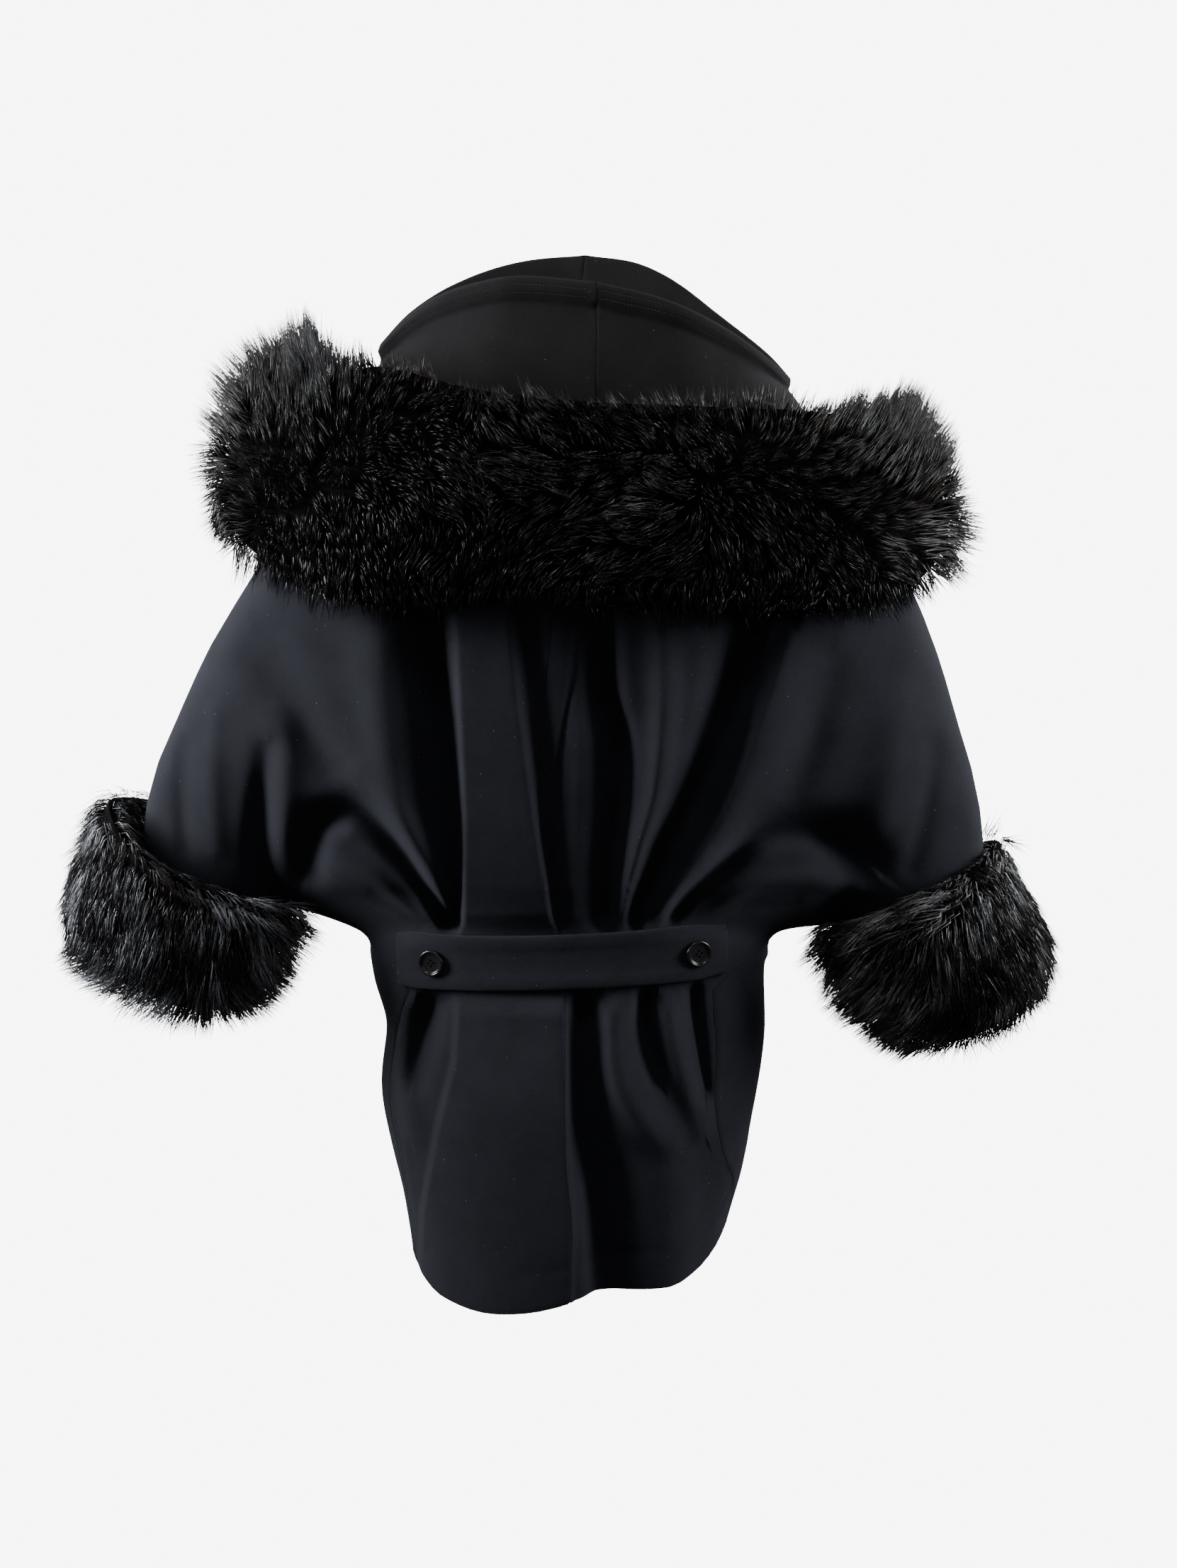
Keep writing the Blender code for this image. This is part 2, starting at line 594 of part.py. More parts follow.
def cuff(name, side, table, lean):
    """A fat fur ring hung from the edge of a sleeve opening."""
    key = "left" if side < 0 else "right"
    corner_row = dict(zip(RING_COLUMNS, RINGS[SLEEVE_END]))
    under_row = dict(zip(RING_COLUMNS, BODY_RINGS[0]))
    corner = Vector((corner_row[key + "_x"], 0.0, corner_row[key + "_z"]))
    under = Vector((under_row[key + "_x"], 0.0, under_row[key + "_z"]))
    centre = (corner + under) / 2
    half = (corner - under) / 2
    along = half.normalized()
    forward = Vector((0.0, 1.0, 0.0))
    down = along.cross(forward).normalized()
    if down.z > 0:
        down = -down
    down = (down + forward * lean).normalized()
    loops = []
    count = 20
    for k in range(count):
        theta = 2 * math.pi * k / count
        c = math.cos(theta)
        s = math.sin(theta)
        edge = centre + half * c - forward * OPENING_HALF_DEPTH * s
        out = (along * c / half.length - forward * s / OPENING_HALF_DEPTH).normalized()
        weights = (max(c, 0) ** 2, max(s, 0) ** 2, max(-c, 0) ** 2, max(-s, 0) ** 2)
        climb, reach, belly, length = [sum(w * row[i] for w, row in zip(weights, table)) for i in range(4)]
        bore = CUFF_BORE - (edge - centre).length
        rise = smooth(-0.1, 0.9, math.cos(theta + CUFF_CLIMB_TURN))
        climb = max(climb, table[0][0] * rise)
        crest = min(16.0 + 0.12 * reach, 0.62 * reach) + 0.25 * max(climb, 0.0)
        brow = min(0.62 * reach + 14.0, 0.82 * reach) + 0.12 * max(climb, 0.0)
        profile = (
            (-8.0, 6.0), (0.0, 0.45), (5.0, 0.6 + 7.0 * weights[2]),
            (9.0 + 0.24 * max(climb, 0.0), 0.9 - climb * 0.6), (crest, -climb), (brow, -0.92 * climb),
            (0.90 * reach, -0.45 * climb), (reach, belly * 0.45), (reach, belly),
            (0.92 * reach, belly + 0.42 * (length - belly)),
            (0.58 * reach + 0.3 * bore, belly + 0.82 * (length - belly)), (bore + 12.0, length),
            (bore + 2.0, length - 8.0), (bore - 1.0, length * 0.5),
        )
        loops.append([edge + out * r + down * h for r, h in profile])
    return ring_body(name, loops, True, BLACK_FUR)


cuff("cuff_left", -1, CUFF_LEFT, CUFF_LEAN_LEFT)
cuff("cuff_right", 1, CUFF_RIGHT, CUFF_LEAN_RIGHT)


def on_back(x, z):
    """The point of the back's outer face with this x and z, found by stepping the ring and angle."""
    t = 3.0
    angle = 0.0
    for _ in range(40):
        ring = table_at(BODY_RINGS, RING_COLUMNS, t)
        side = -1 if x < ring["cb_x"] else 1
        width = abs(ring["left_x" if side < 0 else "right_x"] - ring["cb_x"])
        across = min(0.995, abs(x - ring["cb_x"]) / width)
        low = 0.0
        high = 90.0
        for _ in range(30):
            angle = (low + high) / 2
            a = math.radians(angle)
            reach = math.sin(a) + (angle / 90.0 - math.sin(a)) * ring["point"]
            low, high = (angle, high) if reach < across else (low, angle)
        point = coat_point(1, t, angle, side)
        t = min(HEM - 0.01, max(0.0, t - (z - point.z) / 45.0))
    return point, coat_normal(1, t, angle, side)


# The half belt follows the back, with raised borders round a sunk middle.
BELT_STEPS = 28
BELT_CLEAR = 1.5
BELT_ROWS = ((-29, 2.6), (-27.5, 5.2), (-15, 5.4), (-13, 3.8), (13, 3.8), (15, 5.4), (27.5, 5.2), (29, 2.6))
loops = []
for k in range(BELT_STEPS + 1):
    f = k / BELT_STEPS
    x = BELT_LEFT[0] + (BELT_RIGHT[0] - BELT_LEFT[0]) * f
    end = min(f, 1 - f) * BELT_STEPS
    shrink = (0.88, 0.985)[int(end)] if end < 2 else 1.0
    under = []
    over = []
    for offset, thick in BELT_ROWS:
        point, normal = on_back(x, belt_middle(x) + offset * shrink)
        if end < 1.5:
            thick = 5.0 if abs(offset) < 28 else 2.6
        under.append(point + normal * BELT_CLEAR)
        over.append(point + normal * (BELT_CLEAR + thick))
    loops.append(under + over[::-1])
ring_body("half_belt", loops, False, NAVY)

# Two rimmed buttons with four holes on the ends of the belt. The profile's radii are shares of half
# the button's diameter.
BUTTON_PROFILE = ((0.0, 0.0), (0.64, 0.0), (0.94, 0.9), (1.0, 2.2), (0.97, 4.2), (0.885, 5.2),
                  (0.80, 4.8), (0.73, 3.4), (0.0, 2.9))
BUTTON_SIDES = 22
for name, x in (("button_left", -138.0), ("button_right", 130.0)):
    point, normal = on_back(x, belt_middle(x))
    seat = point + normal * (BELT_CLEAR + 3.8 + 0.4)
    turn = normal.to_track_quat("Z", "Y").to_matrix().to_4x4()
    place = Matrix.Translation(seat * MM) @ turn
    bm = bmesh.new()
    rings = []
    for share, height in BUTTON_PROFILE:
        if share == 0.0:
            rings.append([bm.verts.new((0.0, 0.0, height * MM))])
            continue
        radius = share * BUTTON_DIAMETER / 2 * MM
        rings.append([bm.verts.new((radius * math.cos(2 * math.pi * k / BUTTON_SIDES),
                                    radius * math.sin(2 * math.pi * k / BUTTON_SIDES),
                                    height * MM)) for k in range(BUTTON_SIDES)])
    for low, high in zip(rings, rings[1:]):
        for k in range(BUTTON_SIDES):
            n = (k + 1) % BUTTON_SIDES
            if len(low) == 1:
                bm.faces.new((low[0], high[n], high[k]))
            elif len(high) == 1:
                bm.faces.new((low[k], low[n], high[0]))
            else:
                bm.faces.new((low[k], low[n], high[n], high[k]))
    button = finish(name, bm, BUTTON_BLACK, 0.25)
    button.matrix_world = place
    for k in range(4):
        spot = math.radians(45 + 90 * k)
        tool = bmesh.new()
        bmesh.ops.create_cone(tool, cap_ends=True, segments=8, radius1=1.3 * MM, radius2=1.3 * MM, depth=14 * MM,
                              matrix=Matrix.Translation((3.4 * MM * math.cos(spot), 3.4 * MM * math.sin(spot), 0)))
        cutter = finish(name + "_hole_" + str(k), tool, BUTTON_BLACK, 0.5, cutters)
        cutter.matrix_world = place
        cutter.hide_render = True
        cut = button.modifiers.new("hole " + str(k), "BOOLEAN")
        cut.operation = "DIFFERENCE"
        cut.solver = "EXACT"
        cut.object = cutter
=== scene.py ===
import math

import bpy
import numpy as np
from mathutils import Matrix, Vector
from mathutils.kdtree import KDTree


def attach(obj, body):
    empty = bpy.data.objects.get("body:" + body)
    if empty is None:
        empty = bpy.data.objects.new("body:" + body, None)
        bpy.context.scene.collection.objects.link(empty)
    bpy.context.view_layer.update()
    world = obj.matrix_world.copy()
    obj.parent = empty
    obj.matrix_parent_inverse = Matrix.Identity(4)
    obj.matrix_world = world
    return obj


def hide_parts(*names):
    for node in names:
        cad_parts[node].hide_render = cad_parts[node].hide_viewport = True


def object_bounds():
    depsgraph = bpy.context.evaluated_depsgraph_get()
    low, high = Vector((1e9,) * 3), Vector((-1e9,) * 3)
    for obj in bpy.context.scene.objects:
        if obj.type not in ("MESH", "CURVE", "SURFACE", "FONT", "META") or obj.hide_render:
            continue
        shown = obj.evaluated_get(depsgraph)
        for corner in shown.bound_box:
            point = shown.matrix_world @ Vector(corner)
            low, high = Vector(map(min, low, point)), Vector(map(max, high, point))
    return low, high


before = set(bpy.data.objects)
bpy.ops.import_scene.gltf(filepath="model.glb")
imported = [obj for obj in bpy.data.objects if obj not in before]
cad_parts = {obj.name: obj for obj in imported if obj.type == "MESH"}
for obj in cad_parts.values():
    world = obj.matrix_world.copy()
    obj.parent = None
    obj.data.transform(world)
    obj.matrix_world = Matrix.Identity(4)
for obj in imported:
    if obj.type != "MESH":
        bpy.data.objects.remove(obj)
cad_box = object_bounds()

# The studio: a pale surround and a pale floor, well below the coat, which hangs free as if worn. Tall
# soft boxes stand beside its back and its front, with weak ones overhead and on the camera's side, so
# that hollows stay dark. The camera looks at the back from 3 m, a little from above.
FLOOR_HEIGHT = -1.30
FLOOR_SIZE = 60.0
PALE = (0.905, 0.905, 0.905, 1.0)
SURROUND_LIGHT = 0.07
SURROUND_SHOWN = 8.5
CAMERA_PLACE = (0.02, -3.0, 0.1)
CAMERA_PITCH = 81.6
CAMERA_LENS = 66.64
CAMERA_SENSOR = 36.0

camera_data = bpy.data.cameras.new("camera")
camera_data.lens = CAMERA_LENS
camera_data.sensor_width = CAMERA_SENSOR
camera = bpy.data.objects.new("camera", camera_data)
bpy.context.scene.collection.objects.link(camera)
camera.location = CAMERA_PLACE
camera.rotation_euler = (math.radians(CAMERA_PITCH), 0.0, 0.0)
bpy.context.scene.camera = camera


def pale_surround(tree, lit_strength, shown_strength):
    """Adds a pale glow that the camera sees at one strength and that lights the coat at another."""
    path = tree.nodes.new("ShaderNodeLightPath")
    lit = tree.nodes.new("ShaderNodeBackground" if tree == bpy.context.scene.world.node_tree
                         else "ShaderNodeEmission")
    shown = tree.nodes.new(lit.bl_idname)
    lit.inputs["Color"].default_value = PALE
    shown.inputs["Color"].default_value = PALE
    lit.inputs["Strength"].default_value = lit_strength
    shown.inputs["Strength"].default_value = shown_strength
    mix = tree.nodes.new("ShaderNodeMixShader")
    tree.links.new(path.outputs["Is Camera Ray"], mix.inputs[0])
    tree.links.new(lit.outputs[0], mix.inputs[1])
    tree.links.new(shown.outputs[0], mix.inputs[2])
    return mix


world = bpy.data.worlds.new("pale surround")
bpy.context.scene.world = world
world.use_nodes = True
glow = pale_surround(world.node_tree, SURROUND_LIGHT, SURROUND_SHOWN)
world.node_tree.links.new(glow.outputs[0], world.node_tree.nodes["World Output"].inputs["Surface"])

bpy.ops.object.select_all(action="DESELECT")
bpy.ops.mesh.primitive_plane_add(size=FLOOR_SIZE, location=(0.0, 0.0, FLOOR_HEIGHT))
floor = bpy.context.object
floor.name = "floor"
floor_finish = bpy.data.materials.new("pale floor")
floor_finish.use_nodes = True
glow = pale_surround(floor_finish.node_tree, SURROUND_LIGHT, SURROUND_SHOWN)
floor_finish.node_tree.links.new(
    glow.outputs[0], floor_finish.node_tree.nodes["Material Output"].inputs["Surface"])
floor.data.materials.append(floor_finish)

for name, place, aim, width, height, spread, power in (
        ("back_left_box", (-1.85, -0.40, 0.40), (-0.30, 0.0, -0.15), 0.6, 1.2, 70.0, 16.0),
        ("back_right_box", (1.90, -0.38, 0.40), (0.30, 0.0, -0.15), 0.6, 1.2, 70.0, 10.5),
        ("overhead_box", (-0.2, -1.5, 2.2), (0.0, 0.0, -0.1), 1.2, 0.6, 180.0, 11.0),
        ("camera_side_box", (0.0, -4.0, 0.8), (0.0, 0.0, -0.3), 2.5, 2.0, 180.0, 12.0),
        ("front_left_box", (-2.2, 2.0, 1.0), (0.0, 0.0, -0.3), 0.9, 1.5, 180.0, 75.0),
        ("front_right_box", (2.2, 2.0, 1.0), (0.0, 0.0, -0.3), 0.9, 1.5, 180.0, 75.0)):
    light_data = bpy.data.lights.new(name, "AREA")
    light_data.shape = "RECTANGLE"
    light_data.size = width
    light_data.size_y = height
    light_data.energy = power
    light_data.spread = math.radians(spread)
    light = bpy.data.objects.new(name, light_data)
    bpy.context.scene.collection.objects.link(light)
    light.location = place
    light.rotation_euler = (Vector(aim) - Vector(place)).to_track_quat("-Z", "Y").to_euler()

# The backs and fronts: four panels of thick brushed wool, each cut in one from shoulder to hem with
# its sleeve. They are joined down the centre back, along the shoulders and sleeves, and at the side
# back seams, pressed open, and the cloth is drawn in under the half belt into soft folds.
BELT_LINE = ((-0.174, -0.5165), (0.160, -0.504))
WELD = 0.00002
QUAD_ANGLE = 70
EDGE_CREASE = 0.9


def soft_step(edge0, edge1, value):
    t = np.clip((value - edge0) / (edge1 - edge0), 0.0, 1.0)
    return t * t * (3.0 - 2.0 * t)


def alone(piece):
    """Makes a piece the only selected and the active one."""
    bpy.ops.object.select_all(action="DESELECT")
    piece.select_set(True)
    bpy.context.view_layer.objects.active = piece


def cloth_copy(node, name, sharp):
    """Copies a node's solid as one merged wall of four-sided faces. Edges sharper than the given angle,
    in degrees, are marked to stay crisp."""
    piece = bpy.data.objects.new(name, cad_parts[node].data.copy())
    bpy.context.scene.collection.objects.link(piece)
    piece.data.materials.clear()
    alone(piece)
    bpy.ops.object.mode_set(mode="EDIT")
    bpy.ops.mesh.select_all(action="SELECT")
    bpy.ops.mesh.remove_doubles(threshold=WELD)
    bpy.ops.mesh.tris_convert_to_quads(
        face_threshold=math.radians(QUAD_ANGLE), shape_threshold=math.radians(QUAD_ANGLE))
    bpy.ops.mesh.select_all(action="DESELECT")
    bpy.ops.mesh.edges_select_sharp(sharpness=math.radians(sharp))
    bpy.ops.transform.edge_crease(value=EDGE_CREASE)
    bpy.ops.object.mode_set(mode="OBJECT")
    return piece


def refine(piece, levels):
    """Rounds a coarse cage into a fine surface."""
    alone(piece)
    finer = piece.modifiers.new("finer cloth", "SUBSURF")
    finer.levels = levels
    finer.render_levels = levels
    bpy.ops.object.modifier_apply(modifier=finer.name)


def points_of(mesh):
    co = np.empty(len(mesh.vertices) * 3)
    mesh.vertices.foreach_get("co", co)
    return co.reshape(-1, 3)


def put_points(mesh, co):
    mesh.vertices.foreach_set("co", co.ravel())
    mesh.update()


# The coarse folds of the panels' solids, in millimetres. The columns are how far each stands out (+)
# or in (-), half its width, and its run as points (x, z).
SOLID_BACK_FOLDS = (
    (-26, 18, ((-132, -150), (-131, -250), (-129, -398), (-118, -472))),
    (12, 24, ((-190, -150), (-182, -260), (-166, -350), (-140, -460))),
    (-18, 17, ((-250, -338), (-205, -375), (-165, -410), (-132, -468))),
    (-10, 26, ((-306, -200), (-262, -270), (-225, -325))),
    (-11, 17, ((-318, -320), (-331, -370), (-336, -425))),
    (8, 24, ((-278, -250), (-282, -340), (-285, -430))),
    (-30, 17, ((30, -150), (46, -240), (50, -320), (44, -400), (33, -472))),
    (-6, 16, ((-4, -160), (4, -250), (8, -340), (0, -470))),
    (13, 19, ((84, -150), (92, -262), (88, -350), (62, -470))),
    (-20, 20, ((188, -160), (150, -260), (112, -370), (76, -470))),
    (12, 20, ((262, -235), (205, -300), (150, -390), (100, -472))),
    (-18, 17, ((283, -400), (208, -366), (165, -400), (122, -466))),
    (8, 26, ((330, -260), (322, -340), (300, -420))),
    (-22, 15, ((16, -552), (16, -660), (20, -760), (20, -850))),
    (12, 17, ((52, -550), (66, -610), (92, -672))),
    (-18, 13, ((84, -548), (92, -600), (112, -668))),
    (9, 12, ((106, -548), (126, -600), (142, -660))),
    (-15, 17, ((-148, -552), (-152, -600), (-160, -650))),
)
SOLID_FRONT_FOLDS = (
    (-15, 20, ((-190, -200), (-150, -330), (-110, -470))),
    (-15, 20, ((185, -200), (150, -330), (112, -470))),
    (-10, 24, ((-300, -230), (-290, -330), (-300, -420))),
    (-10, 24, ((305, -240), (290, -340), (292, -430))),
    (-14, 17, ((-255, -350), (-190, -400), (-135, -470))),
    (-14, 17, ((255, -370), (190, -410), (132, -470))),
    (-13, 18, ((-120, -552), (-126, -640), (-128, -760))),
    (-13, 18, ((118, -552), (128, -640), (130, -760))),
)
# The finished folds that take their place. The columns are the height, the left and right widths and
# the run. Each side of a fold has its own width, from the start of the run to its end, so that one
# flank can be soft and the other steep. The right side is +x where the run goes down.
BACK_FOLDS = (
    # Hollow left of the centre band, steep against the band, and the ridge beside it.
    (-34, (30, 9), (11, 7),
     ((-129, -140), (-128, -200), (-123, -260), (-118, -334), (-114, -401), (-112, -476))),
    (13, (30, 12), (26, 10), ((-196, -150), (-186, -260), (-168, -350), (-138, -462))),
    # Hollows that run in from the left underarm, and the rolls between them.
    (-26, (16, 7), (22, 8),
     ((-270, -424), (-256, -376), (-224, -358), (-195, -372), (-165, -405), (-143, -441), (-122, -482))),
    (9, (16, 10), (18, 8), ((-208, -315), (-173, -351), (-145, -394), (-123, -455))),
    (8, (22, 12), (16, 8), ((-238, -410), (-196, -428), (-158, -474))),
    (-5, (10, 6), (12, 6), ((-196, -446), (-172, -462), (-154, -484))),
    # Soft swells and hollows down the left sleeve to its cuff.
    (-12, (26, 20), (30, 22), ((-308, -196), (-278, -250), (-240, -306))),
    (-14, (13, 10), (16, 14), ((-304, -296), (-313, -350), (-319, -400), (-318, -452))),
    (9, (20, 18), (18, 16), ((-290, -260), (-290, -340), (-288, -420))),
    (-6, (12, 10), (13, 11), ((-396, -300), (-398, -350), (-395, -402))),
    (5, (12, 14), (14, 12), ((-360, -260), (-364, -330), (-362, -400))),
    # Deep hollow of the centre, steep on its right, the seam's narrow layers and the wide right ridge.
    (-38, (24, 13), (13, 8), ((34, -140), (38, -228), (50, -278), (51, -334), (45, -401), (38, -478))),
    (-9, (10, 7), (14, 8), ((-48, -140), (-36, -240), (-27, -320), (-22, -400), (-13, -476))),
    (-4, (5, 4), (4, 3), ((11, -150), (4, -213), (-3, -260), (-10, -334), (-17, -442), (-17, -478))),
    (4, (10, 8), (14, 10), ((18, -190), (12, -280), (8, -360), (4, -460))),
    (18, (16, 9), (36, 10), ((92, -140), (96, -200), (94, -260), (87, -334), (69, -401), (55, -474))),
    (-5, (14, 9), (12, 7), ((116, -190), (112, -262), (100, -330), (84, -388))),
    # Hollow right of the ridge, steep on its right, and the second ridge that opens into the sleeve.
    (-32, (30, 9), (14, 7),
     ((186, -140), (174, -192), (150, -285), (126, -342), (96, -396), (75, -442), (63, -480))),
    (15, (12, 8), (40, 13),
     ((226, -176), (196, -260), (176, -316), (148, -372), (114, -425), (84, -476))),
    (-27, (28, 8), (20, 6),
     ((300, -412), (268, -388), (234, -378), (190, -386), (153, -418), (121, -447), (100, -478))),
    (10, (16, 10), (18, 10), ((292, -446), (240, -430), (186, -436), (140, -470))),
    (-4, (10, 6), (10, 6), ((232, -458), (180, -466), (138, -484))),
    (8, (26, 22), (26, 22), ((336, -250), (326, -340), (304, -410))),
    (-8, (26, 20), (20, 18), ((262, -210), (246, -280), (226, -330))),
    (-5, (12, 12), (12, 12), ((374, -300), (366, -360), (352, -420))),
    # The skirt: the dark hollow beside the band, two ridges with the teardrop hollow between them.
    (-27, (10, 12), (20, 34), ((12, -534), (13, -627), (16, -700), (24, -760), (30, -880))),
    (13, (13, 18), (14, 20), ((48, -534), (43, -582), (49, -627), (70, -664), (100, -700))),
    (-22, (10, 12), (9, 8), ((79, -530), (79, -567), (84, -600), (94, -630))),
    (11, (8, 14), (9, 18), ((100, -530), (103, -567), (110, -603), (121, -640), (138, -690))),
    (-16, (9, 8), (8, 6), ((127, -526), (129, -561), (134, -600), (140, -650))),
    (-19, (17, 14), (13, 12), ((-134, -534), (-140, -565), (-149, -600), (-160, -640))),
    (8, (8, 12), (10, 16), ((-164, -540), (-174, -591), (-172, -640), (-164, -700))),
    (6, (20, 26), (22, 30), ((104, -740), (108, -800), (104, -870))),
    (-4, (16, 20), (16, 22), ((142, -720), (146, -780), (140, -850))),
)
FRONT_FOLDS = (
    (-22, (26, 9), (18, 8), ((-190, -190), (-170, -270), (-146, -350), (-110, -476))),
    (-23, (20, 8), (28, 9), ((188, -190), (166, -280), (142, -360), (110, -476))),
    (12, (18, 12), (20, 10), ((-128, -200), (-116, -300), (-98, -400), (-84, -470))),
    (12, (20, 10), (18, 12), ((124, -210), (112, -310), (96, -400), (80, -470))),
    (-12, (24, 20), (22, 18), ((-300, -230), (-290, -330), (-300, -420))),
    (-13, (22, 18), (26, 20), ((308, -240), (292, -330), (296, -420))),
    (-21, (18, 7), (22, 8), ((-262, -352), (-226, -372), (-180, -400), (-132, -478))),
    (-22, (20, 8), (18, 7), ((262, -372), (222, -388), (176, -410), (128, -478))),
    (9, (16, 10), (16, 10), ((-214, -300), (-178, -350), (-140, -430))),
    (9, (16, 10), (16, 10), ((216, -310), (182, -356), (142, -430))),
    (-17, (12, 20), (12, 22), ((-112, -534), (-122, -640), (-126, -780))),
    (-17, (12, 22), (12, 20), ((108, -534), (122, -640), (126, -780))),
    (10, (12, 20), (12, 20), ((-74, -534), (-80, -620), (-86, -720))),
    (9, (10, 18), (12, 20), ((76, -534), (84, -620), (90, -720))),
    (-6, (10, 14), (10, 14), ((-42, -534), (-44, -610), (-48, -690))),
    (-5, (10, 14), (10, 14), ((52, -534), (56, -600), (58, -680))),
    (-6, (14, 10), (14, 10), ((-62, -240), (-66, -360), (-60, -470))),
    (-6, (14, 10), (14, 10), ((70, -260), (66, -360), (58, -470))),
)

# The centre band of the back is a flat raised pleat: the x of both its edges at heights going up, and
# how soft the edges are in the solid. In the finished cloth they are steep.
BAND_RISE = 9.0
BAND_EDGE = 4.5
BAND_COLUMNS = ("z", "left_edge", "right_edge", "soft_left", "soft_right")
BAND = (
    (-880, -160, 3, 14, 6),
    (-779, -154, 5, 14, 6),
    (-688, -137, 0, 14, 6),
    (-616, -119, -2, 12, 6),
    (-550, -115, -3, 10, 6),
    (-474, -110, -14, 8, 8),
    (-360, -106, -32, 8, 8),
    (-244, -110, -48, 8, 9),
    (-120, -116, -60, 9, 10),
)
# Folds come up between these heights: in the solid below the fur collar, in the cloth under it.
SOLID_FOLDS_FROM = (-154.0, -188.0)
FOLDS_FROM = (-120.0, -150.0)
# Folds die away between these distances from the belt's middle, in millimetres.
SOLID_BELT_FADE = (35.0, 61.0)
HOLLOW_BELT_FADE = (22.0, 44.0)
RIDGE_BELT_FADE = (32.0, 56.0)
# Folds also die away towards the sides of the coat, where its depth from the middle falls to nothing.
SOLID_SIDE_FADE = 0.045
SIDE_FADE = 0.05
SIDE_FADE_ROUNDS = 12
# A fold's ends are lower than its middle by this share, and its run is drawn in steps of RUN_STEP.
LOWER_AT_ENDS = 0.35
RUN_STEP = 0.2


def smooth_run(run):
    """A fold's run as a smooth line through its points."""
    ends = [run[0]] + list(run) + [run[-1]]
    line = []
    for k in range(1, len(ends) - 2):
        a, b, c, d = (np.array(ends[k + i], dtype=float) for i in (-1, 0, 1, 2))
        for t in np.arange(0.0, 1.0, RUN_STEP):
            line.append(0.5 * (2 * b + (c - a) * t + (2 * a - 5 * b + 4 * c - d) * t ** 2
                               + (3 * b - a - 3 * c + d) * t ** 3))
    return line + [np.array(run[-1], dtype=float)]


def fold_at(x, z, height, left_widths, right_widths, run):
    """How far one fold stands out at each point: a soft swell across its run, with two flanks."""
    nearest = np.full(len(x), 1e9)
    along = np.zeros(len(x))
    on_right = np.zeros(len(x), dtype=bool)
    for k in range(len(run) - 1):
        a = run[k]
        way = run[k + 1] - a
        s = np.clip(((x - a[0]) * way[0] + (z - a[1]) * way[1]) / (way @ way), 0.0, 1.0)
        gap = np.hypot(x - a[0] - s * way[0], z - a[1] - s * way[1])
        closer = gap < nearest
        nearest = np.where(closer, gap, nearest)
        along = np.where(closer, (k + s) / (len(run) - 1), along)
        on_right = np.where(closer, (z - a[1]) * way[0] - (x - a[0]) * way[1] > 0.0, on_right)
    swell = 1.0 - LOWER_AT_ENDS + LOWER_AT_ENDS * np.sin(math.pi * along)
    left = left_widths[0] + (left_widths[1] - left_widths[0]) * along
    right = right_widths[0] + (right_widths[1] - right_widths[0]) * along
    return height * swell * np.exp(-(nearest / np.where(on_right, right, left)) ** 2)


def solid_relief(co, back):
    """The folds and band of a panel's solid at each point, in metres."""
    x = co[:, 0] * 1000.0
    z = co[:, 2] * 1000.0
    total = np.zeros(len(x))
    for height, half_width, run in SOLID_BACK_FOLDS if back else SOLID_FRONT_FOLDS:
        run = [np.array(p, dtype=float) for p in run]
        total += fold_at(x, z, height, (half_width,) * 2, (half_width,) * 2, run)
    if back:
        edge = band_edges(z)
        inside = soft_step(-1.0, 1.0, (x - edge["left_edge"]) / edge["soft_left"])
        total += BAND_RISE * inside * soft_step(1.0, -1.0, (x - edge["right_edge"]) / edge["soft_right"])
    total *= soft_step(*SOLID_BELT_FADE, belt_distance(co)) * soft_step(*SOLID_FOLDS_FROM, z)
    return total * 0.001


def band_edges(z):
    keys = [row[0] for row in BAND]
    return {name: np.interp(z, keys, [row[c] for row in BAND]) for c, name in enumerate(BAND_COLUMNS)}


def belt_distance(co):
    """How far each point lies above or below the belt's middle line, in millimetres."""
    (ax, az), (bx, bz) = BELT_LINE
    return np.abs(co[:, 2] - az - (bz - az) / (bx - ax) * (co[:, 0] - ax)) * 1000.0


def finished_relief(co, back):
    """The folds and band of the finished cloth at each point, in metres. Hollows run on under the
    belt."""
    x = co[:, 0] * 1000.0
    z = co[:, 2] * 1000.0
    total = np.zeros(len(x))
    for height, left_widths, right_widths, run in BACK_FOLDS if back else FRONT_FOLDS:
        total += fold_at(x, z, height, left_widths, right_widths, smooth_run(run))
    if back:
        edge = band_edges(z)
        inside = soft_step(-1.0, 1.0, (x - edge["left_edge"]) / BAND_EDGE)
        inside *= soft_step(1.0, -1.0, (x - edge["right_edge"]) / BAND_EDGE)
        total = total * (1.0 - inside) + BAND_RISE * inside
    gap = belt_distance(co)
    total *= np.where(total < 0.0, soft_step(*HOLLOW_BELT_FADE, gap), soft_step(*RIDGE_BELT_FADE, gap))
    return total * soft_step(*FOLDS_FROM, z) * 0.001


def take_folds_out(piece, back):
    """Smooths away the coarse folds that the solid was given along Y, which die away at its sides. The
    plain depth is found in a few rounds, because the folds' share depends on it."""
    co = points_of(piece.data)
    swell = solid_relief(co, back)
    away = -co[:, 1] if back else co[:, 1]
    plain = away.copy()
    for _ in range(SIDE_FADE_ROUNDS):
        plain = away - swell * soft_step(0.0, SOLID_SIDE_FADE, np.abs(plain))
    co[:, 1] = -plain if back else plain
    put_points(piece.data, co)


def fold_cloth(piece, back):
    """Raises the finished folds in both faces of a wall."""
    co = points_of(piece.data)
    away = -co[:, 1] if back else co[:, 1]
    away = away + finished_relief(co, back) * soft_step(0.0, SIDE_FADE, np.abs(away))
    co[:, 1] = -away if back else away
    put_points(piece.data, co)


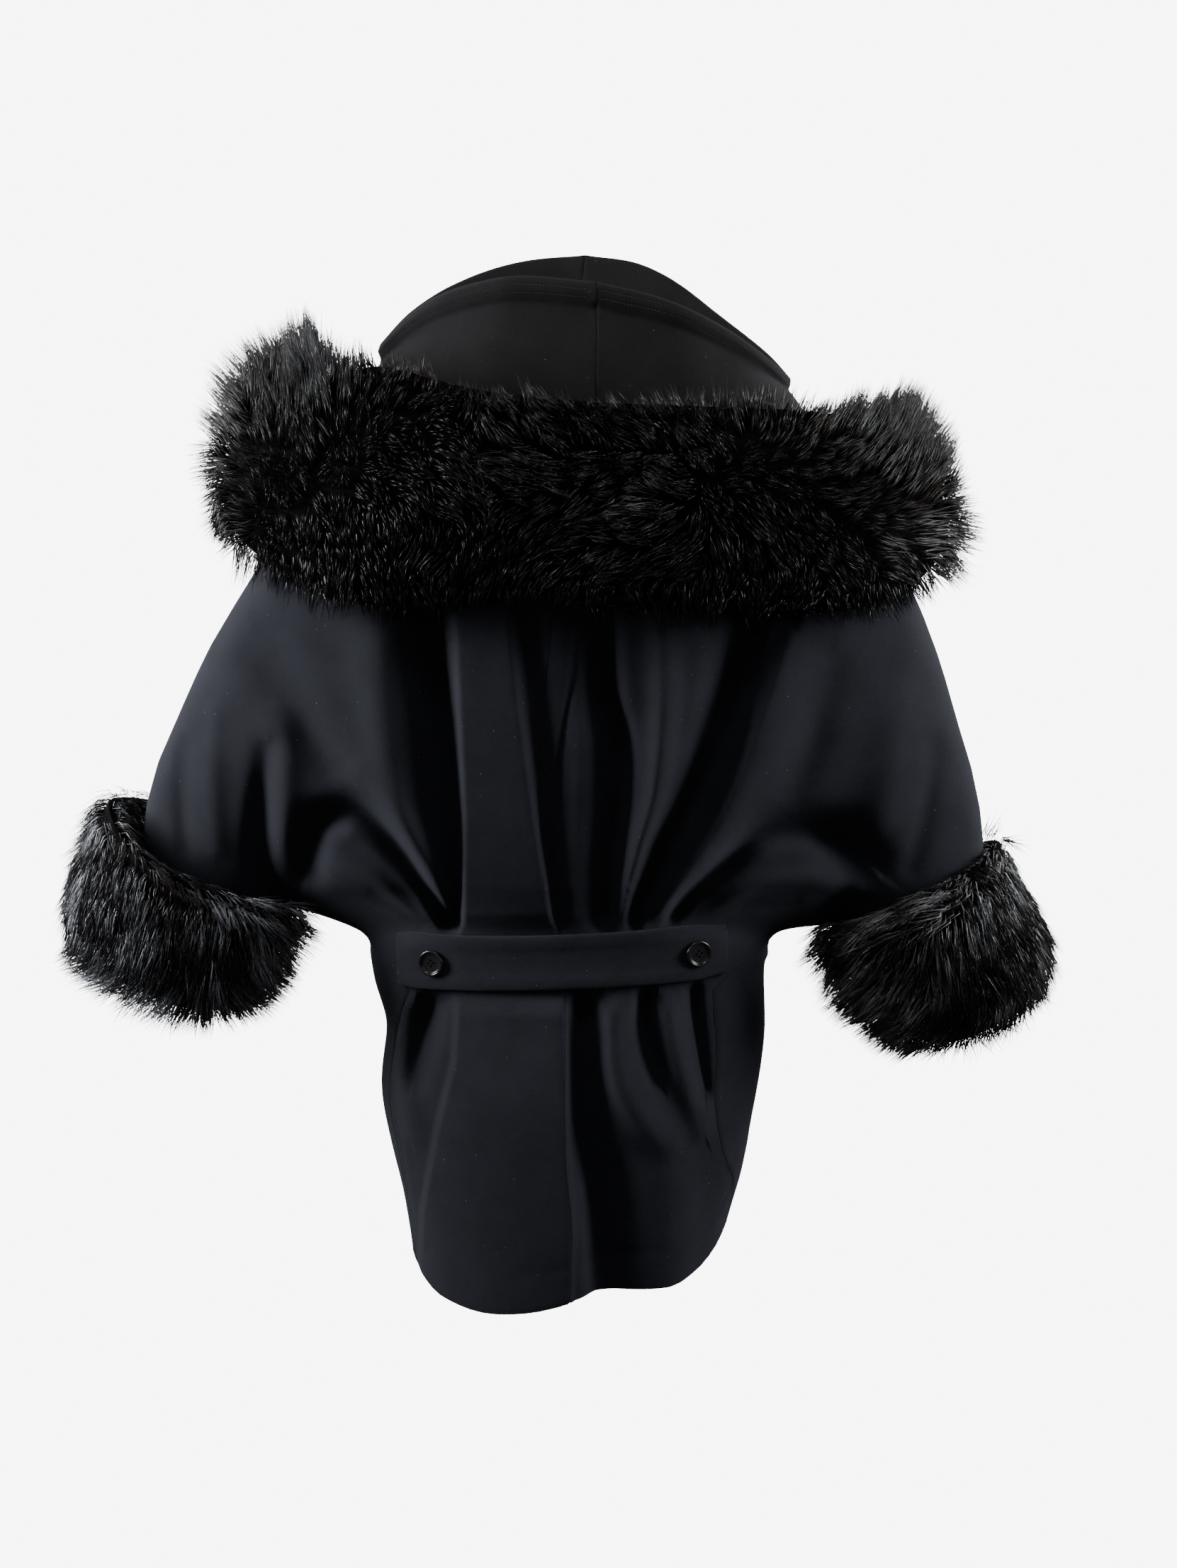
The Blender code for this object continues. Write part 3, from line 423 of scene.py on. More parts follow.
# Brushed wool: a short felted nap, near black navy, with a soft sheen on turned edges and a few pale
# specks of lint. Scales are in patches a metre.
FELT_SCALE = 900.0
CLOUD_SCALE = 26.0
FINE_HAIR_SCALE = 2600.0
LINT_SCALE = 95.0
LINT_REACH = 0.045
LINT_RARER_THAN = 0.62
LINT_COLOUR = (0.12, 0.13, 0.14, 1.0)
WOOL_ROUGHNESS = 0.92
WOOL_SPECULAR = 0.12
WOOL_SHEEN_ROUGHNESS = 0.60
WOOL_SHEEN_TINT = (0.55, 0.60, 0.75, 1.0)
NAP_BUMP = 0.80
NAP_HEIGHT = 0.0010


def effect_group(name, inputs, outputs):
    tree = bpy.data.node_groups.new(name, "ShaderNodeTree")
    for label, kind, value in inputs:
        socket = tree.interface.new_socket(label, in_out="INPUT", socket_type="NodeSocket" + kind)
        socket.default_value = value
    for label, kind in outputs:
        tree.interface.new_socket(label, in_out="OUTPUT", socket_type="NodeSocket" + kind)
    return tree, tree.nodes.new("NodeGroupInput"), tree.nodes.new("NodeGroupOutput")


def noise_of(tree, place, scale, detail):
    node = tree.nodes.new("ShaderNodeTexNoise")
    node.inputs["Scale"].default_value = scale
    node.inputs["Detail"].default_value = detail
    tree.links.new(place, node.inputs["Vector"])
    return node.outputs["Fac"]


def math_of(tree, kind, a, b):
    node = tree.nodes.new("ShaderNodeMath")
    node.operation = kind
    for socket, value in zip(node.inputs, (a, b)):
        if isinstance(value, (int, float)):
            socket.default_value = value
        else:
            tree.links.new(value, socket)
    return node.outputs[0]


def mix_of(tree, factor, a, b):
    node = tree.nodes.new("ShaderNodeMix")
    node.data_type = "RGBA"
    tree.links.new(factor, node.inputs["Factor"])
    for socket, value in ((node.inputs[6], a), (node.inputs[7], b)):
        if isinstance(value, tuple):
            socket.default_value = value
        else:
            tree.links.new(value, socket)
    return node.outputs[2]


def ramp_of(tree, value, low, high):
    node = tree.nodes.new("ShaderNodeMapRange")
    node.inputs["From Min"].default_value = low
    node.inputs["From Max"].default_value = high
    tree.links.new(value, node.inputs["Value"])
    return node.outputs["Result"]


nap, nap_in, nap_out = effect_group(
    "wool nap",
    (("Dark", "Color", (0.0, 0.0, 0.0, 1.0)), ("Light", "Color", (0.02, 0.02, 0.02, 1.0)),
     ("Lint", "Color", (0.2, 0.2, 0.2, 1.0)), ("Place", "Vector", (0.0, 0.0, 0.0))),
    (("Colour", "Color"), ("Height", "Float")))
felt = noise_of(nap, nap_in.outputs["Place"], FELT_SCALE, 3.0)
cloud = noise_of(nap, nap_in.outputs["Place"], CLOUD_SCALE, 4.0)
fine_hairs = noise_of(nap, nap_in.outputs["Place"], FINE_HAIR_SCALE, 1.0)
shade = math_of(nap, "ADD", math_of(nap, "MULTIPLY", felt, 0.55), math_of(nap, "MULTIPLY", cloud, 0.45))
tinted = mix_of(nap, ramp_of(nap, shade, 0.30, 0.70), nap_in.outputs["Dark"], nap_in.outputs["Light"])
specks = nap.nodes.new("ShaderNodeTexVoronoi")
specks.inputs["Scale"].default_value = LINT_SCALE
nap.links.new(nap_in.outputs["Place"], specks.inputs["Vector"])
rare = nap.nodes.new("ShaderNodeSeparateColor")
nap.links.new(specks.outputs["Color"], rare.inputs["Color"])
speck = math_of(nap, "MULTIPLY", math_of(nap, "LESS_THAN", specks.outputs["Distance"], LINT_REACH),
                math_of(nap, "GREATER_THAN", rare.outputs["Red"], LINT_RARER_THAN))
nap.links.new(mix_of(nap, speck, tinted, nap_in.outputs["Lint"]), nap_out.inputs["Colour"])
height = math_of(nap, "ADD", math_of(nap, "MULTIPLY", felt, 0.6), math_of(nap, "MULTIPLY", fine_hairs, 0.4))
nap.links.new(height, nap_out.inputs["Height"])


def wool(name, dark, light, sheen):
    """A wool finish: its colour and bump come from the nap, its roughness and sheen are even."""
    finish = bpy.data.materials.new(name)
    finish.use_nodes = True
    tree = finish.node_tree
    shader = tree.nodes["Principled BSDF"]
    shader.inputs["Roughness"].default_value = WOOL_ROUGHNESS
    shader.inputs["Specular IOR Level"].default_value = WOOL_SPECULAR
    shader.inputs["Sheen Weight"].default_value = sheen
    shader.inputs["Sheen Roughness"].default_value = WOOL_SHEEN_ROUGHNESS
    shader.inputs["Sheen Tint"].default_value = WOOL_SHEEN_TINT
    group = tree.nodes.new("ShaderNodeGroup")
    group.node_tree = nap
    group.inputs["Dark"].default_value = (*dark, 1.0)
    group.inputs["Light"].default_value = (*light, 1.0)
    group.inputs["Lint"].default_value = LINT_COLOUR
    place = tree.nodes.new("ShaderNodeTexCoord")
    tree.links.new(place.outputs["Object"], group.inputs["Place"])
    raised = tree.nodes.new("ShaderNodeBump")
    raised.inputs["Strength"].default_value = NAP_BUMP
    raised.inputs["Distance"].default_value = NAP_HEIGHT
    tree.links.new(group.outputs["Height"], raised.inputs["Height"])
    tree.links.new(raised.outputs["Normal"], shader.inputs["Normal"])
    tree.links.new(group.outputs["Colour"], shader.inputs["Base Color"])
    return finish


def shade_round(piece, degrees):
    """Smooth shading that keeps the cut edges crisp."""
    alone(piece)
    bpy.ops.object.shade_smooth_by_angle(angle=math.radians(degrees))


# Lines pressed into the cloth, as depth and half width: the centre back seam, and the line where the
# hem is caught up inside. Only what lies behind BACK_BEGINS counts as the back.
BACK_BEGINS = -0.02
BEHIND = -0.6
SEAM_PRESS = (0.0009, 0.0045)
SEAM_TOP = -0.16
SEAM_INSET = 0.0006
SEAM_STEP = 0.004
HEM_PRESS = (0.0010, 0.0035)
HEM_TOP = -0.70
HEM_DEPTH = 0.039
HEM_STEP = 0.002
ALLOWANCE_OFFSETS = (-0.009, -0.005, -0.0016, 0.0016, 0.005, 0.009)
ALLOWANCE_HEIGHTS = (-0.858, -0.17)
ALLOWANCE_WALL = 0.001
ALLOWANCE_GAP = 0.0003


def row_on(piece, starts, ways):
    """Where rays from the starts first meet a cloth, with its outward direction at each place."""
    bpy.context.view_layer.update()
    row = []
    for start, way in zip(starts, ways):
        met, place, outward, _ = piece.ray_cast(Vector(start), Vector(way))
        if met:
            row.append((np.array(place), np.array(outward)))
    return row


def row_from_behind(piece, xs, zs):
    """A row of places on the back of a cloth, at the given x and z."""
    return row_on(piece, [(x, BEHIND, z) for x, z in zip(xs, zs)], [(0.0, 1.0, 0.0)] * len(zs))


def press_in(piece, row, depth, width, outward=None):
    """Draws a cloth in along a row of places, as a seam or a line of stitches does. Both faces move
    the same way, so that the cut edges of a seam stay closed."""
    tree = KDTree(len(row))
    for k, (place, _) in enumerate(row):
        tree.insert(place, k)
    tree.balance()
    co = points_of(piece.data)
    nearest = [tree.find(p) for p in co]
    gap = np.array([found[2] for found in nearest])
    outs = np.array([row[found[1]][1] if outward is None else outward for found in nearest])
    put_points(piece.data, co - outs * (depth * np.exp(-(gap / width) ** 2))[:, None])


def edge_along(co, along, across, step, lowest):
    """The furthest edge of a piece in steps along one axis, made smooth."""
    keys = np.arange(co[:, along].min() + step, co[:, along].max() - step, step)
    edge = []
    for key in keys:
        near = co[np.abs(co[:, along] - key) < step, across]
        edge.append((near.min() if lowest else near.max()) if len(near) else edge[-1])
    soft = np.convolve(np.pad(edge, 2, mode="edge"), np.ones(5) / 5, mode="valid")
    return keys, soft


def press_panel_lines(piece, left):
    """Presses the centre back seam and the hem's line, and returns the seam's places as (z, x)."""
    co = points_of(piece.data)
    on_back = co[:, 1] < BACK_BEGINS
    back = co[on_back]
    z, x = edge_along(back[back[:, 2] < SEAM_TOP], 2, 0, SEAM_STEP, not left)
    seam = row_from_behind(piece, x + (-SEAM_INSET if left else SEAM_INSET), z)
    press_in(piece, seam, *SEAM_PRESS, (0.0, -1.0, 0.0))
    x, z = edge_along(back[back[:, 2] < HEM_TOP], 0, 2, HEM_STEP, True)
    press_in(piece, row_from_behind(piece, x, z + HEM_DEPTH), *HEM_PRESS, (0.0, -1.0, 0.0))
    return list(zip(*edge_along(points_of(piece.data)[on_back], 2, 0, SEAM_STEP, not left)))


def seam_allowances(left, right, seam):
    """The centre back seam's allowances, pressed open and caught down inside over both backs."""
    bpy.context.view_layer.update()
    across = len(ALLOWANCE_OFFSETS)
    rows = []
    for z, x in seam:
        row = []
        for offset in ALLOWANCE_OFFSETS:
            met, place, _, _ = (left if offset < 0.0 else right).ray_cast(
                Vector((x + offset, 0.0, z)), Vector((0.0, -1.0, 0.0)))
            if met:
                row.append((x + offset, place[1] + ALLOWANCE_GAP, z))
        if len(row) == across and ALLOWANCE_HEIGHTS[0] < z < ALLOWANCE_HEIGHTS[1]:
            rows.append(row)
    mesh = bpy.data.meshes.new("seam_allowances")
    mesh.from_pydata([point for row in rows for point in row], [],
                     [(c, c + 1, c + 1 + across, c + across)
                      for k in range(len(rows) - 1) for c in range(k * across, (k + 1) * across - 1)])
    strip = bpy.data.objects.new("seam_allowances", mesh)
    bpy.context.scene.collection.objects.link(strip)
    alone(strip)
    wall = strip.modifiers.new("thick", "SOLIDIFY")
    wall.thickness = ALLOWANCE_WALL
    wall.offset = -1.0
    bpy.ops.object.modifier_apply(modifier=wall.name)
    return strip


coat_wool = wool("brushed navy wool", (0.0085, 0.0090, 0.0125), (0.0165, 0.0175, 0.0240), 0.06)
panels = {}
seams = {}
for node, flat, area in (
        ("back_left", (0.46, 0.95), 0.300), ("back_right", (0.46, 0.95), 0.310),
        ("front_left", (0.50, 0.93), 0.345), ("front_right", (0.50, 0.93), 0.375)):
    panel = cloth_copy(node, node + "_cloth", 75)
    is_back = node.startswith("back")
    take_folds_out(panel, is_back)
    refine(panel, 3 if is_back else 2)
    fold_cloth(panel, is_back)
    if is_back:
        panels[node] = panel
        seams[node] = press_panel_lines(panel, node == "back_left")
    shade_round(panel, 40)
    panel.data.materials.append(coat_wool)
    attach(panel, "root")
    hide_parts(node)

allowances = seam_allowances(panels["back_left"], panels["back_right"], seams["back_left"])
allowances.data.materials.append(coat_wool)
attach(allowances, "root")

# The cowl: a wide funnel of the same wool in two halves, seamed down its back and front. It rises
# from the neck seam, turns over a rolled rim and falls outside to the fur. Two rows of stitches in
# navy thread run round under the rim.
COWL_MIDDLE = 0.01
RIM_ROWS = (0.0085, 0.0165)
RIM_STEP = 0.03
RIM_ROW_STEP = 0.008
RIM_PRESS = (0.0008, 0.0022)
STITCH_STEP = 0.0034
STITCH_LENGTH = 0.0026
STITCH_RISE = 0.0002
STITCH_SINK = 0.0004
STITCH_HALF_WIDTH = 0.00030
STITCH_SIDE_SINK = 0.0001
ROW_BREAK = 0.008
# Turns round the cowl are counted from its back, and one half's turns are made to run on past the front.
FRONT_TURN = 2.5
COWL_SEAM_X = 0.027
COWL_SEAM_HEIGHTS = (0.035, 0.125, 0.0015)
COWL_SEAM_PRESS = (0.0007, 0.0025)

thread = bpy.data.materials.new("navy thread")
thread.use_nodes = True
thread.node_tree.nodes["Principled BSDF"].inputs["Base Color"].default_value = (0.016, 0.016, 0.020, 1.0)
thread.node_tree.nodes["Principled BSDF"].inputs["Roughness"].default_value = 0.55


def rim_row(half, drop):
    """A row of places on the outside of the cowl, a little below its rim all the way round."""
    co = points_of(half.data)
    turn = np.arctan2(co[:, 0] - COWL_MIDDLE, -co[:, 1])
    sense = np.sign(np.median(turn))
    turn = np.where(turn * sense < -FRONT_TURN, turn + sense * 2.0 * math.pi, turn)
    keys, rim = edge_along(np.stack([turn, co[:, 2]], axis=1), 0, 1, RIM_STEP, False)
    turns = np.arange(keys[0], keys[-1], RIM_ROW_STEP)
    heights = np.interp(turns, keys, rim) - drop
    outs = np.stack([np.sin(turns), -np.cos(turns), np.zeros(len(turns))], axis=1)
    middle = np.stack([np.full(len(turns), COWL_MIDDLE), np.zeros(len(turns)), heights], axis=1)
    starts = outs * 0.5 + middle
    return row_on(half, starts, -outs)


def sew(name, row):
    """Lays a stitch every few millimetres along a row: a bead of thread that dips in at both ends."""
    places = np.array([place for place, _ in row])
    outs = np.array([outward for _, outward in row])
    run = np.concatenate([[0.0], np.cumsum(np.linalg.norm(np.diff(places, axis=0), axis=1))])
    points = []
    faces = []
    for s in np.arange(STITCH_STEP, run[-1] - STITCH_STEP, STITCH_STEP):
        k = min(int(np.searchsorted(run, s)), len(run) - 1)
        if run[k] - run[k - 1] > ROW_BREAK:
            continue
        a, b = (np.array([np.interp(s + d, run, places[:, c]) for c in range(3)])
                for d in (-STITCH_LENGTH / 2, STITCH_LENGTH / 2))
        out = outs[k]
        side = np.cross(out, (b - a) / np.linalg.norm(b - a))
        middle = (a + b) / 2
        first = len(points)
        points += [a - out * STITCH_SINK, b - out * STITCH_SINK, middle + out * STITCH_RISE,
                   middle + side * STITCH_HALF_WIDTH - out * STITCH_SIDE_SINK, middle - out * STITCH_SINK,
                   middle - side * STITCH_HALF_WIDTH - out * STITCH_SIDE_SINK]
        for m in range(4):
            near, far = first + 2 + m, first + 2 + (m + 1) % 4
            faces += [(first, far, near), (first + 1, near, far)]
    mesh = bpy.data.meshes.new(name)
    mesh.from_pydata(points, [], faces)
    mesh.shade_smooth()
    piece = bpy.data.objects.new(name, mesh)
    bpy.context.scene.collection.objects.link(piece)
    alone(piece)
    bpy.ops.object.mode_set(mode="EDIT")
    bpy.ops.mesh.select_all(action="SELECT")
    bpy.ops.mesh.normals_make_consistent(inside=False)
    bpy.ops.object.mode_set(mode="OBJECT")
    mesh.materials.append(thread)
    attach(piece, "root")
    return piece


cowl_wool = wool("cowl wool", (0.0080, 0.0080, 0.0085), (0.0145, 0.0145, 0.0155), 0.02)
for node, flat, area in (("cowl_left", (0.43, 0.38), 0.139), ("cowl_right", (0.46, 0.36), 0.133)):
    half = cloth_copy(node, node + "_cloth", 80)
    refine(half, 2)
    rows = [rim_row(half, drop) for drop in RIM_ROWS]
    for row in rows:
        press_in(half, row, *RIM_PRESS)
        sew("cowl_stitches", row)
    if node == "cowl_right":
        heights = np.arange(*COWL_SEAM_HEIGHTS)
        seam = row_from_behind(half, [COWL_SEAM_X] * len(heights), heights)
        press_in(half, seam, *COWL_SEAM_PRESS)
    shade_round(half, 50)
    half.data.materials.append(cowl_wool)
    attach(half, "root")
    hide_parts(node)

# The half belt: a band of doubled wool across the back, its borders turned over and stitched round
# a sunk middle, held by a button at each end.
belt = cloth_copy("half_belt", "half_belt_cloth", 60)
refine(belt, 2)
shade_round(belt, 35)
belt.data.materials.append(coat_wool)
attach(belt, "root")
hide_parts("half_belt")

# The fur collar: one wide band of long soft guard hairs, black with a few brown places. Its grey glints are
# painted as pale grey hairs, more of them on its top as painted light. The hairs stand out from a backing
# and bend over to lie as combed.
fur_backing = bpy.data.materials.new("fur backing")
fur_backing.use_nodes = True
backing_shader = fur_backing.node_tree.nodes["Principled BSDF"]
backing_shader.inputs["Roughness"].default_value = 1.0
backing_shader.inputs["Specular IOR Level"].default_value = 0.05
backing_place = fur_backing.node_tree.nodes.new("ShaderNodeTexCoord")
backing_dark = mix_of(fur_backing.node_tree,
                      noise_of(fur_backing.node_tree, backing_place.outputs["Object"], 400.0, 3.0),
                      (0.0015, 0.0015, 0.0016, 1.0), (0.006, 0.006, 0.006, 1.0))
fur_backing.node_tree.links.new(backing_dark, backing_shader.inputs["Base Color"])


def fur_hair(name, black, brown, grey, roughness):
    """Hair that is black at the root, with brown places, and hairs painted pale grey where their glint
    value is high: painted glints.
    """
    finish = bpy.data.materials.new(name)
    finish.use_nodes = True
    tree = finish.node_tree
    shader = tree.nodes["Principled BSDF"]
    shader.inputs["Roughness"].default_value = roughness
    shader.inputs["Specular IOR Level"].default_value = 0.5
    place = tree.nodes.new("ShaderNodeTexCoord")
    painted_glint = tree.nodes.new("ShaderNodeAttribute")
    painted_glint.attribute_name = "painted_glint"
    patches = ramp_of(tree, noise_of(tree, place.outputs["Object"], 11.0, 2.0), 0.56, 0.72)
    colour = mix_of(tree, patches, (*black, 1.0), (*brown, 1.0))
    # Pale grey where the hair's glint value is high: painted glints.
    paler = ramp_of(tree, painted_glint.outputs["Fac"], 0.55, 1.0)
    tree.links.new(mix_of(tree, paler, colour, (*grey, 1.0)), shader.inputs["Base Color"])
    return finish


def fur_body(node, name, inset, held_at=None):
    """The backing that the hairs grow from: the fur's solid, drawn in all round but for where it is
    held, so that no gap opens there."""
    body = cloth_copy(node, name, 170)
    refine(body, 1)
    co = points_of(body.data)
    vn = np.empty(len(co) * 3)
    body.data.vertices.foreach_get("normal", vn)
    share = np.ones(len(co))
    if held_at is not None:
        far = np.min(np.linalg.norm(co[:, None, :] - held_at[None, :, :], axis=2), axis=1)
        share = soft_step(0.006, 0.040, far)
    put_points(body.data, co - vn.reshape(-1, 3) * (inset * share)[:, None])
    body.data.materials.append(fur_backing)
    bpy.ops.object.shade_smooth()
    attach(body, "root")
    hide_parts(node)
    return body


def unit(v):
    return v / np.maximum(np.linalg.norm(v, axis=1), 1e-9)[:, None]


def wander(p, size, seed):
    """A smooth random direction for each point, which changes over about the given size."""
    draw = np.random.default_rng(seed)
    way = np.zeros_like(p)
    for _ in range(6):
        wave = draw.normal(size=3) / size
        way += draw.normal(size=3) * np.sin(p @ wave + draw.uniform(0, 2 * math.pi))[:, None]
    return unit(way)


PILE_REACH = 0.018
SHORTEST_HAIR = 0.62
HAIR_SCATTER = 0.12
BEND_AT = 0.28
ROOT_DEPTH = 0.002


def grow(name, body, count, length, width, comb, lock_size, gather, where, painted_glint_share, seed, finish):
    """Grows hairs on a backing. Each is a three-sided strand with one bend, pointed at both ends. Comb
    gives its direction, and its tip leans towards that of its lock. Lock_size is the locks' number as a
    share of the hairs', and gather is how far the tips of one lock come together."""
    draw = np.random.default_rng(seed)
    mesh = body.data
    mesh.calc_loop_triangles()
    tri = np.array([t.vertices[:] for t in mesh.loop_triangles])
    co = points_of(mesh)
    vn = np.empty(len(co) * 3)
    mesh.vertices.foreach_get("normal", vn)
    vn = vn.reshape(-1, 3)
    a, b, c = co[tri[:, 0]], co[tri[:, 1]], co[tri[:, 2]]
    weight = np.linalg.norm(np.cross(b - a, c - a), axis=1)
    weight = weight * where((a + b + c) / 3, unit(vn[tri].mean(axis=1)))
    pick = draw.choice(len(tri), count, p=weight / weight.sum())
    u, v = draw.uniform(size=(2, count))
    over = u + v > 1
    u[over], v[over] = 1 - u[over], 1 - v[over]
    w = 1 - u - v
    corner = tri[pick]
    root, normal = (sum(at[corner[:, k]] * part[:, None] for k, part in enumerate((w, u, v)))
                    for at in (co, vn))
    normal = unit(normal)
    way = unit(comb(root, normal))
    long = length(root, normal) * draw.uniform(SHORTEST_HAIR, 1.0, count)
    loose = draw.normal(scale=HAIR_SCATTER, size=(count, 3))
    tip = root + unit(way + loose) * long[:, None]
    # Hairs of one lock share a tip.
    locks = max(8, int(count * lock_size))
    heads = draw.choice(count, locks, replace=False)
    tree = KDTree(locks)
    for k, h in enumerate(heads):
        tree.insert(root[h], k)
    tree.balance()
    own = np.array([tree.find(p)[1] for p in root])
    lead = heads[own]
    pull = gather * draw.uniform(0.55, 1.0, count)[:, None]
    lock_tip = root[lead] + way[lead] * np.maximum(long, long[lead])[:, None]
    tip = tip * (1 - pull) + lock_tip * pull
    # No hair reaches further than the trimmed pile.
    low, high = (np.array(corner) for corner in cad_box)
    ahead = np.where(tip > root, high + PILE_REACH - root, root - low + PILE_REACH)
    share = np.min(np.clip(ahead / np.maximum(np.abs(tip - root), 1e-6), 0.0, 1.0), axis=1)
    tip = root + (tip - root) * share[:, None]
    bend = root + unit(way * 0.65 + normal * 0.5) * BEND_AT * long[:, None]
    bend = bend * 0.75 + (root * (1 - BEND_AT) + tip * BEND_AT) * 0.25
    # The root, a ring of three points at the bend, then the tip.
    axis = unit(tip - root)
    side = unit(np.cross(axis, draw.normal(size=(count, 3))))
    third = np.cross(axis, side)
    thick = width * draw.uniform(0.6, 1.0, count) / 2
    points = np.empty((count, 5, 3))
    points[:, 0] = root - normal * ROOT_DEPTH
    for k in range(3):
        turn = 2 * math.pi * k / 3
        spoke = side * math.cos(turn) + third * math.sin(turn)
        points[:, 1 + k] = bend + spoke * thick[:, None]
    points[:, 4] = tip
    first = np.arange(count) * 5
    faces = []
    for k in range(3):
        near, far = first + 1 + k, first + 1 + (k + 1) % 3
        faces += [np.stack([first, far, near], axis=1), np.stack([near, far, first + 4], axis=1)]
    faces = np.concatenate(faces)
    hair = bpy.data.meshes.new(name)
    hair.vertices.add(count * 5)
    hair.vertices.foreach_set("co", points.ravel())
    hair.loops.add(faces.size)
    hair.loops.foreach_set("vertex_index", faces.ravel())
    hair.polygons.add(len(faces))
    hair.polygons.foreach_set("loop_start", np.arange(len(faces)) * 3)
    hair.update(calc_edges=True)
    hair.shade_smooth()
    painted_glint = hair.attributes.new("painted_glint", "FLOAT", "POINT")
    # Each hair's glint value: a random share per hair and per lock, times the share from its place. Where
    # it is high, the material paints the hair pale grey, as painted glints.
    streak = 0.45 * draw.uniform(size=count) + 0.55 * draw.uniform(size=locks)[own]
    streak = streak * painted_glint_share(root, normal)
    painted_glint.data.foreach_set("value", np.repeat(streak, 5).astype(np.float32))
    piece = bpy.data.objects.new(name, hair)
    bpy.context.scene.collection.objects.link(piece)
    hair.materials.append(finish)
    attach(piece, "root")
    return piece


COLLAR_INSET = 0.014
COLLAR_MIDDLE = np.array([[0.01, 0.0, 0.0]])
COLLAR_LENGTH = 0.041
COLLAR_TOP_LONGER = 0.022
COLLAR_TUFTS = 0.011
COLLAR_HAIRS = 21500
COLLAR_HAIR_WIDTH = 0.0016
COLLAR_LOCKS = 0.040
COLLAR_GATHER = 0.60
COLLAR_SEED = 11
# The grey is the colour of the painted glints.
collar_hair = fur_hair("collar hair", (0.0040, 0.0040, 0.0045), (0.018, 0.0125, 0.0090),
                       (0.070, 0.073, 0.082), 0.34)


def collar_comb(p, n):
    """Out from the collar: the lower hairs hang, the upper ones stand up, and none leans into the
    cowl."""
    out = unit((p - COLLAR_MIDDLE) * np.array([[1.0, 1.0, 0.0]]))
    rise = -0.60 + 1.35 * soft_step(-0.45, 0.60, n[:, 2])
    way = n * 0.62 + rise[:, None] * np.array([[0.0, 0.0, 1.0]])
    way += wander(p, 0.060, 4) * 0.42 + wander(p, 0.018, 5) * 0.25
    inward = np.minimum((way * out).sum(axis=1) - 0.05, 0.0)[:, None]
    return way - out * inward


def collar_length(p, n):
    tufts = wander(p, 0.03, 6)[:, 0]
    long = COLLAR_LENGTH + COLLAR_TOP_LONGER * soft_step(0.1, 0.8, n[:, 2]) + COLLAR_TUFTS * tufts
    return long * (1.0 - 0.25 * n[:, 1] ** 2)


def not_under(p, n):
    """How thickly hairs grow: few on the side that lies on the cloth, and most on the top."""
    return np.clip(0.06 + soft_step(-0.88, -0.4, n[:, 2]), 0.0, 1.0) + 1.1 * soft_step(0.2, 0.8, n[:, 2])


def collar_glints_and_top_light(p, n):
    """The upper hairs are painted paler in places, as painted light on the top and painted glints; lower
    down nearly all are black.
    """
    places = 0.5 + 0.5 * wander(p, 0.045, 10)[:, 1]
    return 0.62 + 0.50 * soft_step(0.05, 0.65, n[:, 2]) * places + 0.10 * soft_step(-0.2, -0.7, n[:, 2])


collar = fur_body("fur_collar", "fur_collar_backing", COLLAR_INSET)
for side, name in ((-1, "left"), (1, "right")):
    grow("fur_collar_hair_" + name, collar, COLLAR_HAIRS, collar_length, COLLAR_HAIR_WIDTH, collar_comb,
         COLLAR_LOCKS, COLLAR_GATHER, lambda p, n, side=side: not_under(p, n) * (p[:, 0] * side > 0),
         collar_glints_and_top_light, COLLAR_SEED + side, collar_hair)

# The fur cuffs: rings of the same fur in a longer pile, sewn under the edge of each sleeve. The left
# one is combed straight down, the right one spreads out, and the lowest lock of each lies sideways.
CUFF_INSET = 0.012
CUFF_EDGE_COLUMNS = ("side", "under", "corner", "spread", "sweep")
CUFF_EDGES = (
    ("left", (-0.301, -0.470), (-0.449, -0.419), 0.55, (0.0, 1.0)),
    ("right", (0.291, -0.491), (0.435, -0.418), 1.25, (-0.85, 0.3)),
)
CUFF_EDGE_HALF_DEPTH = 0.056
CUFF_LENGTH = 0.046
CUFF_TUFTS = 0.008
CUFF_HAIRS = 14000
CUFF_HAIR_WIDTH = 0.0015
CUFF_LOCKS = 0.045
CUFF_GATHER = 0.50
CUFF_SEEDS = {"left": 21, "right": 22}
# The cuffs' hair is painted lighter than the collar's, the left cuff's most, as painted light, and its pale
# grey hairs are painted glints.
cuff_hairs = {
    "left": fur_hair("left cuff hair", (0.0095, 0.0097, 0.0115), (0.032, 0.022, 0.015),
                     (0.50, 0.52, 0.58), 0.30),
    "right": fur_hair("right cuff hair", (0.0060, 0.0060, 0.0070), (0.020, 0.015, 0.011),
                      (0.34, 0.345, 0.36), 0.32)}


